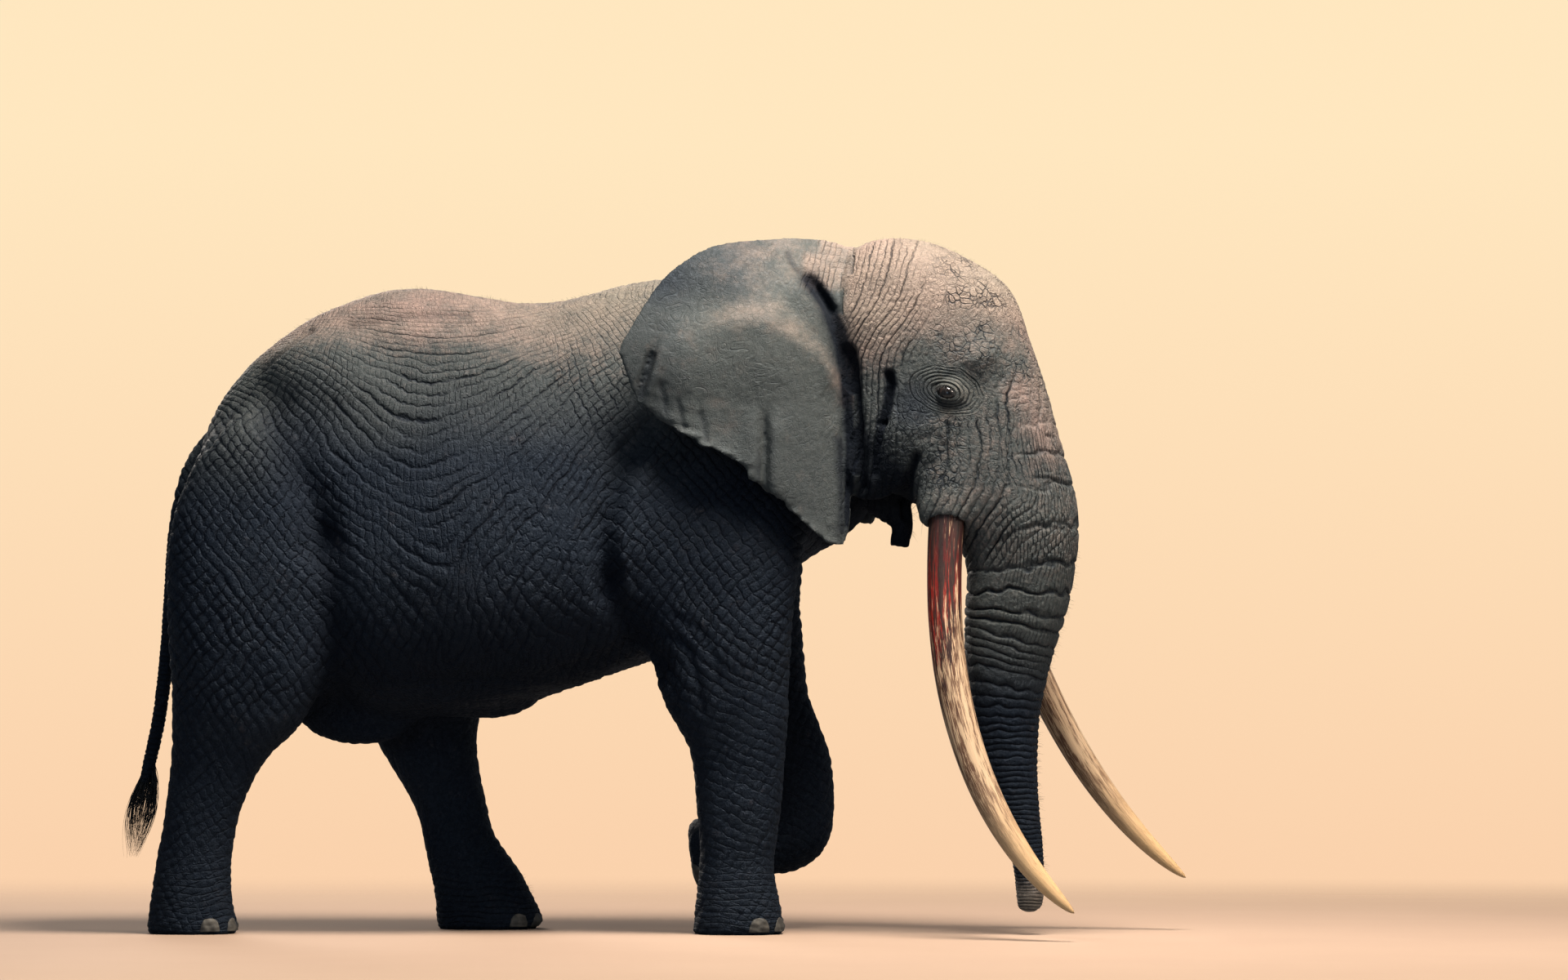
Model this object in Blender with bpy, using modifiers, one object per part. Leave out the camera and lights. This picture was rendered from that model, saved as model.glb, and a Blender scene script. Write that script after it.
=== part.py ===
"""A life-size African bush elephant bull in mid-stride, as a still museum model.

Metres, +Z up, the animal walks towards +X and its left side is +Y. The body is modelled whole
from lofted slices and muscle swellings, fused, and then parted with thin cuts into named pieces.
Run with: blender --background --python part.py
"""

import math
from collections import namedtuple

import bmesh
import bpy
from mathutils import Matrix, Vector

# ---------------------------------------------------------------- driving sizes, in metres
GAP = 0.0005  # clearance left between neighbouring pieces
HANG_GAP = 0.003  # clearance round what hangs on the flesh: ears, tail and jaw
FUSE_VOXEL = 0.028  # grain at which lofts and swellings are fused into one body
BODY_SMOOTHING, HEAD_SMOOTHING = 70, 7
FLESH_TRIANGLES = 4350
HEAD_TURN = math.radians(15.0)  # the head looks a little to the animal's right
HEAD_PIVOT = Vector((1.25, 0.0, 2.7))
RIGHT, LEFT = -1, 1
FORWARDS, DOWN = Vector((1.0, 0.0, 0.0)), Vector((0.0, 0.0, -1.0))

# A slice across the trunk of the body at one place on its axis: the two edges seen from the side,
# the half width seen from the front, and where the section is pinched (1 top or front, -1 below).
Slice = namedtuple("Slice", "at high low half pinch")

# Torso and neck slices stand at x = at; high and low are heights.
TORSO = {
    "tail root": Slice(-1.660, 2.30, 1.84, 0.13, 0.0),
    "pin bones": Slice(-1.540, 2.64, 1.58, 0.32, 0.10),
    "rump": Slice(-1.300, 2.925, 1.32, 0.47, 0.20),
    "hips": Slice(-0.980, 3.12, 1.15, 0.57, 0.27),
    "loin": Slice(-0.600, 3.245, 1.07, 0.635, 0.33),
    "belly": Slice(-0.200, 3.18, 1.10, 0.690, 0.33),
    "ribs": Slice(0.150, 3.155, 1.18, 0.680, 0.33),
    "girth": Slice(0.500, 3.25, 1.295, 0.620, 0.32),
    "withers": Slice(0.850, 3.29, 1.42, 0.550, 0.30),
    "breast": Slice(1.150, 3.25, 1.50, 0.460, 0.18),
    "brisket": Slice(1.380, 3.02, 1.80, 0.310, 0.05),
}
NECK = {
    "shoulder end": Slice(0.80, 3.18, 1.80, 0.46, 0.15),
    "middle": Slice(1.25, 3.28, 1.80, 0.45, 0.10),
    "throat": Slice(1.60, 3.30, 1.95, 0.43, 0.05),
    "skull end": Slice(1.86, 3.32, 2.25, 0.38, 0.00),
}
# Head and trunk slices lie at height z = at; high is the front edge's x and low the rear one's.
HEAD_AND_TRUNK = {
    "crown": Slice(3.440, 2.01, 1.79, 0.15, 0.0),
    "dome": Slice(3.378, 2.190, 1.675, 0.27, 0.0),
    "forehead": Slice(3.197, 2.465, 1.560, 0.375, 0.10),
    "brow": Slice(2.930, 2.575, 1.508, 0.405, 0.16),
    "eye line": Slice(2.673, 2.665, 1.529, 0.395, 0.22),
    "cheekbone": Slice(2.425, 2.733, 1.632, 0.400, 0.27),
    "cheek": Slice(2.206, 2.797, 1.870, 0.365, 0.24),
    "trunk root": Slice(2.028, 2.822, 2.142, 0.310, 0.16),
    "trunk base": Slice(1.832, 2.809, 2.265, 0.268, 0.10),
    "first quarter": Slice(1.578, 2.760, 2.255, 0.240, 0.06),
    "second quarter": Slice(1.379, 2.693, 2.255, 0.214, 0.04),
    "half way": Slice(1.177, 2.643, 2.268, 0.186, 0.0),
    "third quarter": Slice(0.978, 2.617, 2.290, 0.163, 0.0),
    "lower trunk": Slice(0.776, 2.617, 2.330, 0.142, 0.0),
    "narrows": Slice(0.577, 2.628, 2.400, 0.113, 0.0),
    "wrist": Slice(0.376, 2.650, 2.478, 0.086, 0.0),
    "fingers": Slice(0.220, 2.656, 2.498, 0.076, 0.0),
    "tip": Slice(0.100, 2.640, 2.500, 0.066, 0.0),
}
# A leg's rings run down its bones: a centre, the half depth fore and aft, and the half width.
Ring = namedtuple("Ring", "x y z depth width")
FORELEG_RIGHT = {
    "shoulder blade": Ring(0.96, -0.36, 2.55, 0.34, 0.15),
    "shoulder point": Ring(1.02, -0.40, 2.05, 0.42, 0.20),
    "upper arm": Ring(1.01, -0.40, 1.62, 0.375, 0.205),
    "elbow": Ring(1.02, -0.375, 1.32, 0.345, 0.200),
    "below elbow": Ring(1.065, -0.350, 1.12, 0.300, 0.185),
    "forearm": Ring(1.092, -0.330, 0.96, 0.252, 0.178),
    "above wrist": Ring(1.100, -0.310, 0.77, 0.228, 0.172),
    "wrist": Ring(1.100, -0.295, 0.58, 0.210, 0.176),
    "pastern": Ring(1.088, -0.275, 0.36, 0.190, 0.172),
    "foot": Ring(1.090, -0.265, 0.15, 0.212, 0.198),
    "sole": Ring(1.100, -0.260, -0.06, 0.242, 0.226),
}
FORELEG_LEFT = {
    "shoulder blade": Ring(0.96, 0.36, 2.55, 0.34, 0.15),
    "shoulder point": Ring(1.02, 0.40, 2.05, 0.41, 0.20),
    "upper arm": Ring(1.06, 0.40, 1.66, 0.340, 0.205),
    "elbow": Ring(1.130, 0.385, 1.36, 0.290, 0.195),
    "forearm": Ring(1.212, 0.365, 1.12, 0.232, 0.180),
    "above wrist": Ring(1.335, 0.350, 0.86, 0.198, 0.168),
    "wrist": Ring(1.380, 0.340, 0.64, 0.188, 0.172),
    "bend": Ring(1.345, 0.335, 0.475, 0.185, 0.170),
    "pastern": Ring(1.170, 0.330, 0.425, 0.165, 0.165),
    "foot": Ring(0.990, 0.325, 0.390, 0.180, 0.185),
    "sole": Ring(0.828, 0.320, 0.366, 0.200, 0.205),
}
HINDLEG_RIGHT = {
    "hip": Ring(-1.10, -0.30, 2.35, 0.46, 0.22),
    "thigh": Ring(-1.215, -0.38, 1.95, 0.52, 0.25),
    "stifle": Ring(-1.288, -0.41, 1.50, 0.455, 0.245),
    "shin": Ring(-1.365, -0.40, 1.20, 0.370, 0.215),
    "above hock": Ring(-1.442, -0.375, 1.00, 0.280, 0.190),
    "hock": Ring(-1.490, -0.350, 0.84, 0.222, 0.172),
    "below hock": Ring(-1.550, -0.330, 0.62, 0.188, 0.162),
    "pastern": Ring(-1.592, -0.315, 0.38, 0.188, 0.162),
    "foot": Ring(-1.610, -0.305, 0.16, 0.210, 0.182),
    "sole": Ring(-1.600, -0.300, -0.06, 0.245, 0.205),
}
HINDLEG_LEFT = {
    "hip": Ring(-1.02, 0.30, 2.35, 0.46, 0.22),
    "thigh": Ring(-0.930, 0.38, 1.95, 0.50, 0.25),
    "stifle": Ring(-0.720, 0.41, 1.52, 0.440, 0.245),
    "shin": Ring(-0.555, 0.40, 1.20, 0.350, 0.215),
    "above hock": Ring(-0.512, 0.38, 0.98, 0.265, 0.190),
    "hock": Ring(-0.462, 0.36, 0.82, 0.208, 0.172),
    "below hock": Ring(-0.385, 0.34, 0.62, 0.184, 0.162),
    "pastern": Ring(-0.335, 0.32, 0.41, 0.184, 0.162),
    "foot": Ring(-0.245, 0.30, 0.20, 0.236, 0.182),
    "sole": Ring(-0.165, 0.29, -0.06, 0.290, 0.205),
}
TAIL = {
    "root": Ring(-1.460, 0.0, 2.500, 0.090, 0.105),
    "dock": Ring(-1.620, 0.0, 2.360, 0.078, 0.085),
    "upper": Ring(-1.718, 0.0, 2.120, 0.056, 0.062),
    "middle": Ring(-1.755, 0.0, 1.800, 0.042, 0.046),
    "lower": Ring(-1.785, 0.0, 1.420, 0.034, 0.037),
    "bend": Ring(-1.825, 0.0, 1.060, 0.032, 0.034),
    "end": Ring(-1.880, 0.0, 0.810, 0.030, 0.030),
    "stub": Ring(-1.895, 0.0, 0.730, 0.020, 0.020),
}
TUFT = {
    "top": Ring(-1.886, 0.0, 0.790, 0.052, 0.030),
    "fullest": Ring(-1.915, 0.0, 0.66, 0.105, 0.050),
    "lower": Ring(-1.940, 0.0, 0.54, 0.085, 0.042),
    "point": Ring(-1.962, 0.0, 0.39, 0.022, 0.016),
}
JAW = {
    "gullet": Ring(1.66, 0.0, 2.38, 0.20, 0.20),
    "angle": Ring(1.79, 0.0, 2.24, 0.150, 0.185),
    "chin": Ring(1.868, 0.0, 2.125, 0.110, 0.130),
    "lip": Ring(1.925, 0.0, 2.035, 0.062, 0.085),
    "droop": Ring(1.922, 0.0, 1.975, 0.054, 0.062),
    "lip end": Ring(1.913, 0.0, 1.910, 0.050, 0.040),
}

# Muscle and bone swellings: a centre on the animal's left, radii, and a tilt about Y in degrees.
Swelling = namedtuple("Swelling", "x y z rx ry rz tilt")
BODY_SWELLINGS = {
    "shoulder blade": Swelling(0.93, 0.40, 2.45, 0.26, 0.15, 0.60, 12),
    "upper arm muscle": Swelling(0.90, 0.44, 1.86, 0.32, 0.17, 0.46, -24),
    "hip bone": Swelling(-0.88, 0.30, 2.70, 0.40, 0.21, 0.26, 20),
    "haunch": Swelling(-1.22, 0.38, 2.12, 0.42, 0.24, 0.52, 8),
    "flank": Swelling(-0.15, 0.43, 1.92, 0.80, 0.285, 0.62, -6),
}
MIDLINE_SWELLINGS = {
    "spine over the hips": Swelling(-0.62, 0.0, 3.08, 0.52, 0.14, 0.13, -6),
    "sheath": Swelling(-0.86, 0.0, 1.12, 0.34, 0.13, 0.20, 10),
    "navel fold": Swelling(-0.35, 0.0, 1.12, 0.42, 0.12, 0.06, 3),
}
HEAD_SWELLINGS = {
    "brow ridge": Swelling(2.32, 0.27, 2.80, 0.18, 0.10, 0.10, -20),
    "cheekbone": Swelling(2.04, 0.33, 2.48, 0.26, 0.105, 0.13, 12),
    "jaw muscle": Swelling(1.85, 0.29, 2.33, 0.20, 0.12, 0.22, 20),
    "temple": Swelling(1.88, 0.28, 2.98, 0.26, 0.14, 0.24, 0),
    "dome": Swelling(1.93, 0.15, 3.22, 0.24, 0.18, 0.18, 0),
}
# The fleshy sheath of each tusk, down the side of the trunk's root.
TUSK_SHEATH = {
    "top": Ring(2.350, 0.180, 2.58, 0.13, 0.12),
    "middle": Ring(2.275, 0.245, 2.33, 0.155, 0.130),
    "mouth": Ring(2.235, 0.300, 2.08, 0.150, 0.126),
    "rim": Ring(2.230, 0.318, 1.985, 0.118, 0.110),
}

# Each tusk starts inside its sheath and sweeps forwards, slowly and then faster, splaying outwards.
Tusk = namedtuple("Tusk", "side root_x pitch sweep curl splay length radius")
TUSK_ROOT_Y, TUSK_ROOT_Z = 0.285, 2.22
TUSKS = {
    "tusk_right": Tusk(RIGHT, 2.254, -4.4, 27.1, 28.2, 11.0, 2.33, 0.089),
    "tusk_left": Tusk(LEFT, 2.200, 14.6, 0.0, 36.4, 12.0, 2.28, 0.084),
}
TUSK_STEPS = 15
TUSK_SIDES = 10

EYE_CENTRE = Vector((2.258, 0.350, 2.646))
EYE_RADIUS = 0.047

# The right ear's edge seen from the side, as (x, z), from the top of its root round to the lobe.
EAR_RIM = {
    "top of root": (1.656, 3.398),
    "top": (1.483, 3.433),
    "crest": (1.206, 3.419),
    "shoulder": (1.008, 3.392),
    "back": (0.870, 3.324),
    "upper corner": (0.728, 3.198),
    "corner": (0.602, 2.994),
    "rear tip": (0.527, 2.822),
    "below tip": (0.582, 2.652),
    "lower edge": (0.733, 2.485),
    "mid edge": (0.878, 2.406),
    "fore edge": (1.147, 2.239),
    "near lobe": (1.313, 2.108),
    "lobe edge": (1.528, 1.933),
    "lobe": (1.600, 1.909),
}
# The front edge, from the top of the root down to the lobe.
EAR_FRONT = {
    "top of root": (1.670, 3.400),
    "crease": (1.606, 3.119),
    "hinge": (1.610, 2.896),
    "mid": (1.635, 2.659),
    "bottom of root": (1.653, 2.336),
    "free edge": (1.650, 2.014),
    "lobe": (1.608, 1.907),
}
EAR_ROOT_X = 1.62
EAR_ROWS, EAR_COLUMNS = 26, 4
EAR_THICK_ROOT, EAR_THICK_RIM = 0.034, 0.020
# The head's turn to the right carries the left ear's root forwards and opens that ear.
LEFT_EAR_OPEN = math.radians(10.0)
LEFT_EAR_MOVE = Vector((0.13, -0.215, 0.0))
LEFT_EAR_HEIGHT = 0.91

# Where the body is parted. Each cut is a block's face, turned in degrees about a point (x, z).
Cut = namedtuple("Cut", "low high point tilt with_head")
FAR = 9.0
CUTS = {
    "trunk_lower": Cut((1.9, -1, -1), (FAR, 1, 0.98), (2.45, 0.98), 6.0, True),
    "trunk_upper": Cut((2.0, -1, 0), (FAR, 1, 1.90), (2.50, 1.90), -4.0, True),
    "head": Cut((1.60, -2, 1), (FAR, 2, FAR), (1.60, 2.70), 0.0, True),
    "neck": Cut((1.15, -2, 1), (FAR, 2, FAR), (1.15, 2.40), -20.0, False),
    "forefoot_right": Cut((0.6, -1, -1), (1.6, 0.04, 0.285), (1.09, 0.285), 0.0, False),
    "forefoot_left": Cut((0.5, 0.05, -1), (1.9, 1, 0.605), (1.40, 0.605), 0.0, False),
    "hindfoot_right": Cut((-2.2, -1, -1), (-1.0, -0.05, 0.34), (-1.64, 0.34), 0.0, False),
    "hindfoot_left": Cut((-1.0, 0.05, -1), (0.4, 1, 0.34), (-0.28, 0.34), 0.0, False),
    "foreleg_right": Cut((0.4, -2, 0), (1.9, 0.04, 1.38), (1.05, 1.38), -14.0, False),
    "foreleg_left": Cut((0.4, 0.05, 0), (1.9, 2, 1.38), (1.05, 1.38), -14.0, False),
    "hindleg_right": Cut((-2.4, -2, 0), (-1.03, -0.14, 1.26), (-1.35, 1.26), 18.0, False),
    "hindleg_left": Cut((-1.5, 0.14, 0), (0.2, 2, 1.20), (-0.60, 1.20), 14.0, False),
}


# ---------------------------------------------------------------- scene and materials
def clear_scene():
    for old in list(bpy.data.objects):
        bpy.data.objects.remove(old)


def principled(name, colour, roughness):
    made = bpy.data.materials.new(name)
    made.use_nodes = True
    shader = made.node_tree.nodes["Principled BSDF"]
    shader.inputs["Base Color"].default_value = (*colour, 1.0)
    shader.inputs["Roughness"].default_value = roughness
    shader.inputs["Metallic"].default_value = 0.0
    return made


def add_object(name, mesh, collection, material=None):
    made = bpy.data.objects.new(name, mesh)
    collection.objects.link(made)
    if material:
        mesh.materials.clear()
        mesh.materials.append(material)
    return made


def hide_helper(helper):
    """Cutters and guides are drawn as wires and never rendered."""
    helper.hide_render = True
    helper.display_type = "WIRE"
    return helper


# ---------------------------------------------------------------- shape tools
def smooth_rows(rows, steps):
    """Catmull-Rom rows between the given ones, each a sequence of numbers."""
    rows = [Vector(row) for row in rows]
    ends = [rows[0] * 2 - rows[1], *rows, rows[-1] * 2 - rows[-2]]
    made = []
    for before, start, end, after in zip(ends, ends[1:], ends[2:], ends[3:]):
        for step in range(steps):
            t = step / steps
            made.append(
                0.5
                * (
                    2 * start
                    + (end - before) * t
                    + (2 * before - 5 * start + 4 * end - after) * t * t
                    + (3 * start - before - 3 * end + after) * t**3
                )
            )
    return [*made, rows[-1]]


def loft(name, rows, sides=28, square=2.3, steps=4, matrix=None, path=None):
    """A closed tube through rows of (x, y, z, depth, width, pinch), across its path.

    The path is the line through the rows, or the one direction given. Width runs along Y.
    Pinch narrows the side that depth points to and widens the other."""
    rows = smooth_rows(rows, steps)
    bm = bmesh.new()
    rings = []
    for index, row in enumerate(rows):
        ahead, behind = rows[min(index + 1, len(rows) - 1)], rows[max(index - 1, 0)]
        way = path or Vector((ahead - behind)[:3]).normalized()
        across = (Vector((0, 1, 0)) - way * way.y).normalized()
        along = way.cross(across)
        centre = Vector(row[:3])
        depth, width, pinch = row[3:6]
        ring = []
        for side in range(sides):
            turn = 2 * math.pi * side / sides
            c, s = math.cos(turn), math.sin(turn)
            c = math.copysign(abs(c) ** (2 / square), c)
            s = math.copysign(abs(s) ** (2 / square), s)
            ring.append(
                bm.verts.new(
                    centre + across * width * c * (1 - pinch * s) + along * depth * s
                )
            )
        rings.append(ring)
    for first, second in zip(rings, rings[1:]):
        for side in range(sides):
            after = (side + 1) % sides
            bm.faces.new((first[side], first[after], second[after], second[side]))
    bm.faces.new(rings[0][::-1])
    bm.faces.new(rings[-1])
    bmesh.ops.recalc_face_normals(bm, faces=bm.faces)
    mesh = bpy.data.meshes.new(name)
    bm.to_mesh(mesh)
    bm.free()
    if matrix:
        mesh.transform(matrix)
    return mesh


def body_rows(slices):
    """Loft rows for slices that stand across the X axis."""
    return [
        (s.at, 0, (s.high + s.low) / 2, (s.high - s.low) / 2, s.half, s.pinch)
        for s in slices.values()
    ]


def hanging_rows(slices):
    """Loft rows for slices that lie across the Z axis."""
    return [
        ((s.high + s.low) / 2, 0, s.at, (s.high - s.low) / 2, s.half, s.pinch)
        for s in slices.values()
    ]


def ring_rows(rings, side=LEFT):
    return [(r.x, r.y * side, r.z, r.depth, r.width, 0) for r in rings.values()]


def swelling(name, s, side=LEFT, matrix=None, segments=24):
    """An ellipsoid mesh, tilted about Y."""
    bm = bmesh.new()
    bmesh.ops.create_uvsphere(bm, u_segments=segments, v_segments=segments // 2 + 1, radius=1.0)
    place = Matrix.LocRotScale(
        Vector((s.x, s.y * side, s.z)),
        Matrix.Rotation(math.radians(s.tilt), 3, "Y"),
        Vector((s.rx, s.ry, s.rz)),
    )
    bm.transform(place if matrix is None else matrix @ place)
    mesh = bpy.data.meshes.new(name)
    bm.to_mesh(mesh)
    bm.free()
    return mesh


def joined(name, meshes):
    bm = bmesh.new()
    for mesh in meshes:
        bm.from_mesh(mesh)
    made = bpy.data.meshes.new(name)
    bm.to_mesh(made)
    bm.free()
    return made


def evaluated_mesh(obj):
    """A new mesh of the object with its modifiers applied."""
    bpy.context.view_layer.update()
    graph = bpy.context.evaluated_depsgraph_get()
    return bpy.data.meshes.new_from_object(obj.evaluated_get(graph))


def grown(name, obj, by, collection):
    """A helper that is the object's shape, pushed out along its normals."""
    made = hide_helper(add_object(name, evaluated_mesh(obj), collection))
    push = made.modifiers.new("grow", "DISPLACE")
    push.strength = by
    push.mid_level = 0.0
    return made


def block(name, low, high, collection, tilt=0.0, pivot=(0, 0, 0), turn=None):
    """A box helper between two corners, tilted about Y by degrees round the pivot."""
    bm = bmesh.new()
    bmesh.ops.create_cube(bm, size=1.0)
    low, high = Vector(low), Vector(high)
    bm.transform(Matrix.LocRotScale((low + high) / 2, None, high - low))
    about = Matrix.Translation(Vector(pivot))
    bm.transform(about @ Matrix.Rotation(math.radians(tilt), 4, "Y") @ about.inverted())
    if turn:
        bm.transform(turn)
    mesh = bpy.data.meshes.new(name)
    bm.to_mesh(mesh)
    bm.free()
    return hide_helper(add_object(name, mesh, collection))


def boolean(obj, operation, other):
    modifier = obj.modifiers.new(f"{operation.lower()} {other.name}", "BOOLEAN")
    modifier.operation = operation
    modifier.object = other
    modifier.solver = "EXACT"
    modifier.use_self = True
    return modifier


# ---------------------------------------------------------------- the animal
def head_turn():
    about = Matrix.Translation(HEAD_PIVOT)
    return about @ Matrix.Rotation(-HEAD_TURN, 4, "Z") @ about.inverted()


def flesh_meshes():
    """Every lofted and swelling form that is fused into the body."""
    turn = head_turn()
    meshes = [
        loft("torso", body_rows(TORSO), sides=40, square=2.25, path=FORWARDS),
        loft("neck", body_rows(NECK), sides=32, path=FORWARDS),
        loft("skull", hanging_rows(HEAD_AND_TRUNK), sides=36, matrix=turn, path=DOWN),
    ]
    for rings in (FORELEG_RIGHT, FORELEG_LEFT, HINDLEG_RIGHT, HINDLEG_LEFT):
        meshes.append(loft("leg", ring_rows(rings)))
    for side in (RIGHT, LEFT):
        meshes.append(loft("sheath", ring_rows(TUSK_SHEATH, side), matrix=turn))
        meshes += [swelling(n, s, side) for n, s in BODY_SWELLINGS.items()]
        meshes += [swelling(n, s, side, turn) for n, s in HEAD_SWELLINGS.items()]
    meshes += [swelling(n, s) for n, s in MIDLINE_SWELLINGS.items()]
    return meshes


def fused_flesh(collection):
    """One closed body with flat soles at floor level."""
    body = hide_helper(add_object("flesh", joined("flesh", flesh_meshes()), collection))
    remesh = body.modifiers.new("fuse", "REMESH")
    remesh.mode = "VOXEL"
    remesh.voxel_size = FUSE_VOXEL
    body.data = evaluated_mesh(body)
    body.modifiers.clear()
    on_body = body.vertex_groups.new(name="body")
    for vertex in body.data.vertices:
        behind_head = min(max((1.75 - vertex.co.x) / 0.3, 0.0), 1.0)
        above_legs = min(max((vertex.co.z - 1.15) / 0.6, 0.12), 1.0)
        on_body.add([vertex.index], behind_head * above_legs, "REPLACE")
    everywhere = body.modifiers.new("soften", "SMOOTH")
    everywhere.iterations = HEAD_SMOOTHING
    broad = body.modifiers.new("soften the body", "SMOOTH")
    broad.iterations = BODY_SMOOTHING
    broad.vertex_group = "body"
    smooth = evaluated_mesh(body)
    body.modifiers.clear()
    body.vertex_groups.clear()
    body.data = smooth
    keep_head = body.vertex_groups.new(name="coarser")
    for vertex in smooth.vertices:
        on_head = vertex.co.x > 1.75 and vertex.co.z > 1.2
        keep_head.add([vertex.index], 0.9 if on_head else 1.0, "REPLACE")
    thin = body.modifiers.new("thin out", "DECIMATE")
    triangles = sum(len(p.vertices) - 2 for p in smooth.polygons)
    thin.ratio = FLESH_TRIANGLES / triangles
    thin.vertex_group = "coarser"
    thin.vertex_group_factor = 1.0
    coarse = evaluated_mesh(body)
    body.modifiers.clear()
    bm = bmesh.new()
    bm.from_mesh(coarse)
    whole = bm.verts[:] + bm.edges[:] + bm.faces[:]
    cut = bmesh.ops.bisect_plane(
        bm, geom=whole, plane_co=(0, 0, 0), plane_no=(0, 0, -1), clear_outer=True
    )
    rim = [e for e in cut["geom_cut"] if isinstance(e, bmesh.types.BMEdge)]
    bmesh.ops.holes_fill(bm, edges=rim, sides=0)
    bmesh.ops.triangulate(bm, faces=bm.faces)
    bm.to_mesh(coarse)
    bm.free()
    body.data = coarse
    return body


def tusk_mesh(name, tusk):
    """A tapering arc, nearly even for two thirds of its length, then drawn to a blunt point."""
    rows = []
    for step in range(TUSK_STEPS + 1):
        share = step / TUSK_STEPS
        turned = math.radians(tusk.pitch + tusk.sweep * share + tusk.curl * share**2)
        rows.append((share, turned))
    places = [Vector((0, 0, 0))]
    for (_, a), (_, b) in zip(rows, rows[1:]):
        middle = (a + b) / 2
        step = Vector((math.sin(middle), 0, -math.cos(middle)))
        places.append(places[-1] + step * tusk.length / TUSK_STEPS)
    splay = Matrix.Rotation(math.radians(tusk.splay * tusk.side), 4, "X")
    root = Vector((tusk.root_x, TUSK_ROOT_Y * tusk.side, TUSK_ROOT_Z))
    stations = []
    for (share, _), place in zip(rows, places):
        radius = max(tusk.radius * (1 - 0.16 * share) * (1 - share**5) ** 0.55, 0.012)
        stations.append((*(splay @ place), radius, radius, 0))
    return loft(
        name,
        stations,
        sides=TUSK_SIDES,
        square=2.0,
        steps=1,
        matrix=head_turn() @ Matrix.Translation(root),
    )


def ear_depth(x, z):
    """How far out from the midline the ear's blade lies, at a place seen from the side."""
    back = max(0.0, EAR_ROOT_X - x)
    lean = 0.455 + 0.15 * math.sin(min(back / 0.42, 1.0) * math.pi / 2) + 0.125 * back
    over_neck = 0.21 * max(0.0, (z - 2.98) / 0.46) ** 1.6
    bulge = 0.045 * math.exp(-(((x - 1.2) / 0.3) ** 2) - ((z - 2.75) / 0.45) ** 2)
    flare = 0.05 * max(0.0, (2.6 - z) / 0.65)
    return lean - over_neck + bulge + flare


def ear_mesh(name, side):
    """A curved blade, thick at its root and thin at a wavy rim."""
    rim = smooth_rows(EAR_RIM.values(), 6)
    front = smooth_rows(EAR_FRONT.values(), 6)

    def along(line, share):
        place = share * (len(line) - 1)
        index = min(int(place), len(line) - 2)
        return line[index].lerp(line[index + 1], place - index)

    bm = bmesh.new()
    grid = []
    for row in range(EAR_ROWS + 1):
        share = row / EAR_ROWS
        start, end = along(front, share), along(rim, share)
        line = []
        for column in range(EAR_COLUMNS + 1):
            out = column / EAR_COLUMNS
            place = start.lerp(end, out)
            ripple = 0.016 * math.sin(share * 9 * math.pi) * out**3 * min(1, share * 3)
            y = ear_depth(place.x, place.y) + ripple
            line.append(bm.verts.new((place.x, y * side, place.y)))
        grid.append(line)
    for above, below in zip(grid, grid[1:]):
        for column in range(EAR_COLUMNS):
            bm.faces.new(
                (above[column], above[column + 1], below[column + 1], below[column])
            )
    bmesh.ops.remove_doubles(bm, verts=bm.verts, dist=0.004)
    bmesh.ops.recalc_face_normals(bm, faces=bm.faces)
    mesh = bpy.data.meshes.new(name)
    bm.to_mesh(mesh)
    bm.free()
    return mesh


def ear(name, side, material, pieces, flesh_grown):
    """One ear, hung on the head and trimmed where it meets the flesh."""
    made = add_object(name, ear_mesh(name, side), pieces, material)
    group = made.vertex_groups.new(name="thick")
    for vertex in made.data.vertices:
        root = max(0.0, 1 - (EAR_ROOT_X - vertex.co.x) / 0.5)
        group.add([vertex.index], min(root, 1.0), "REPLACE")
    shell = made.modifiers.new("thickness", "SOLIDIFY")
    shell.thickness = EAR_THICK_ROOT
    shell.offset = 0.0
    shell.vertex_group = "thick"
    shell.thickness_vertex_group = EAR_THICK_RIM / EAR_THICK_ROOT
    if side == LEFT:
        hinge = Matrix.Translation((EAR_ROOT_X, ear_depth(EAR_ROOT_X, 2.7), 0))
        opened = hinge @ Matrix.Rotation(-LEFT_EAR_OPEN, 4, "Z") @ hinge.inverted()
        top = Matrix.Translation((0, 0, EAR_FRONT["top of root"][1]))
        shorter = top @ Matrix.Diagonal((1, 1, LEFT_EAR_HEIGHT, 1)) @ top.inverted()
        made.data.transform(Matrix.Translation(LEFT_EAR_MOVE) @ opened @ shorter)
    boolean(made, "DIFFERENCE", flesh_grown)


def split_off(name, rest, cut, helpers):
    """Part the flesh with a block: what lies inside it is returned, less a thin gap."""
    pivot = (cut.point[0], 0, cut.point[1])
    turn = head_turn() if cut.with_head else None
    margin = Vector((GAP, GAP, GAP))
    low, high = Vector(cut.low), Vector(cut.high)
    inside = block(f"{name} inside", low, high, helpers, cut.tilt, pivot, turn)
    outside = block(
        f"{name} outside", low - margin, high + margin, helpers, cut.tilt, pivot, turn
    )
    part = hide_helper(add_object(f"{name} whole", rest.data.copy(), helpers))
    boolean(part, "INTERSECT", inside)
    boolean(rest, "DIFFERENCE", outside)
    taken, left = evaluated_mesh(part), evaluated_mesh(rest)
    part.modifiers.clear()
    rest.modifiers.clear()
    rest.data = left
    return taken


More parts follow.
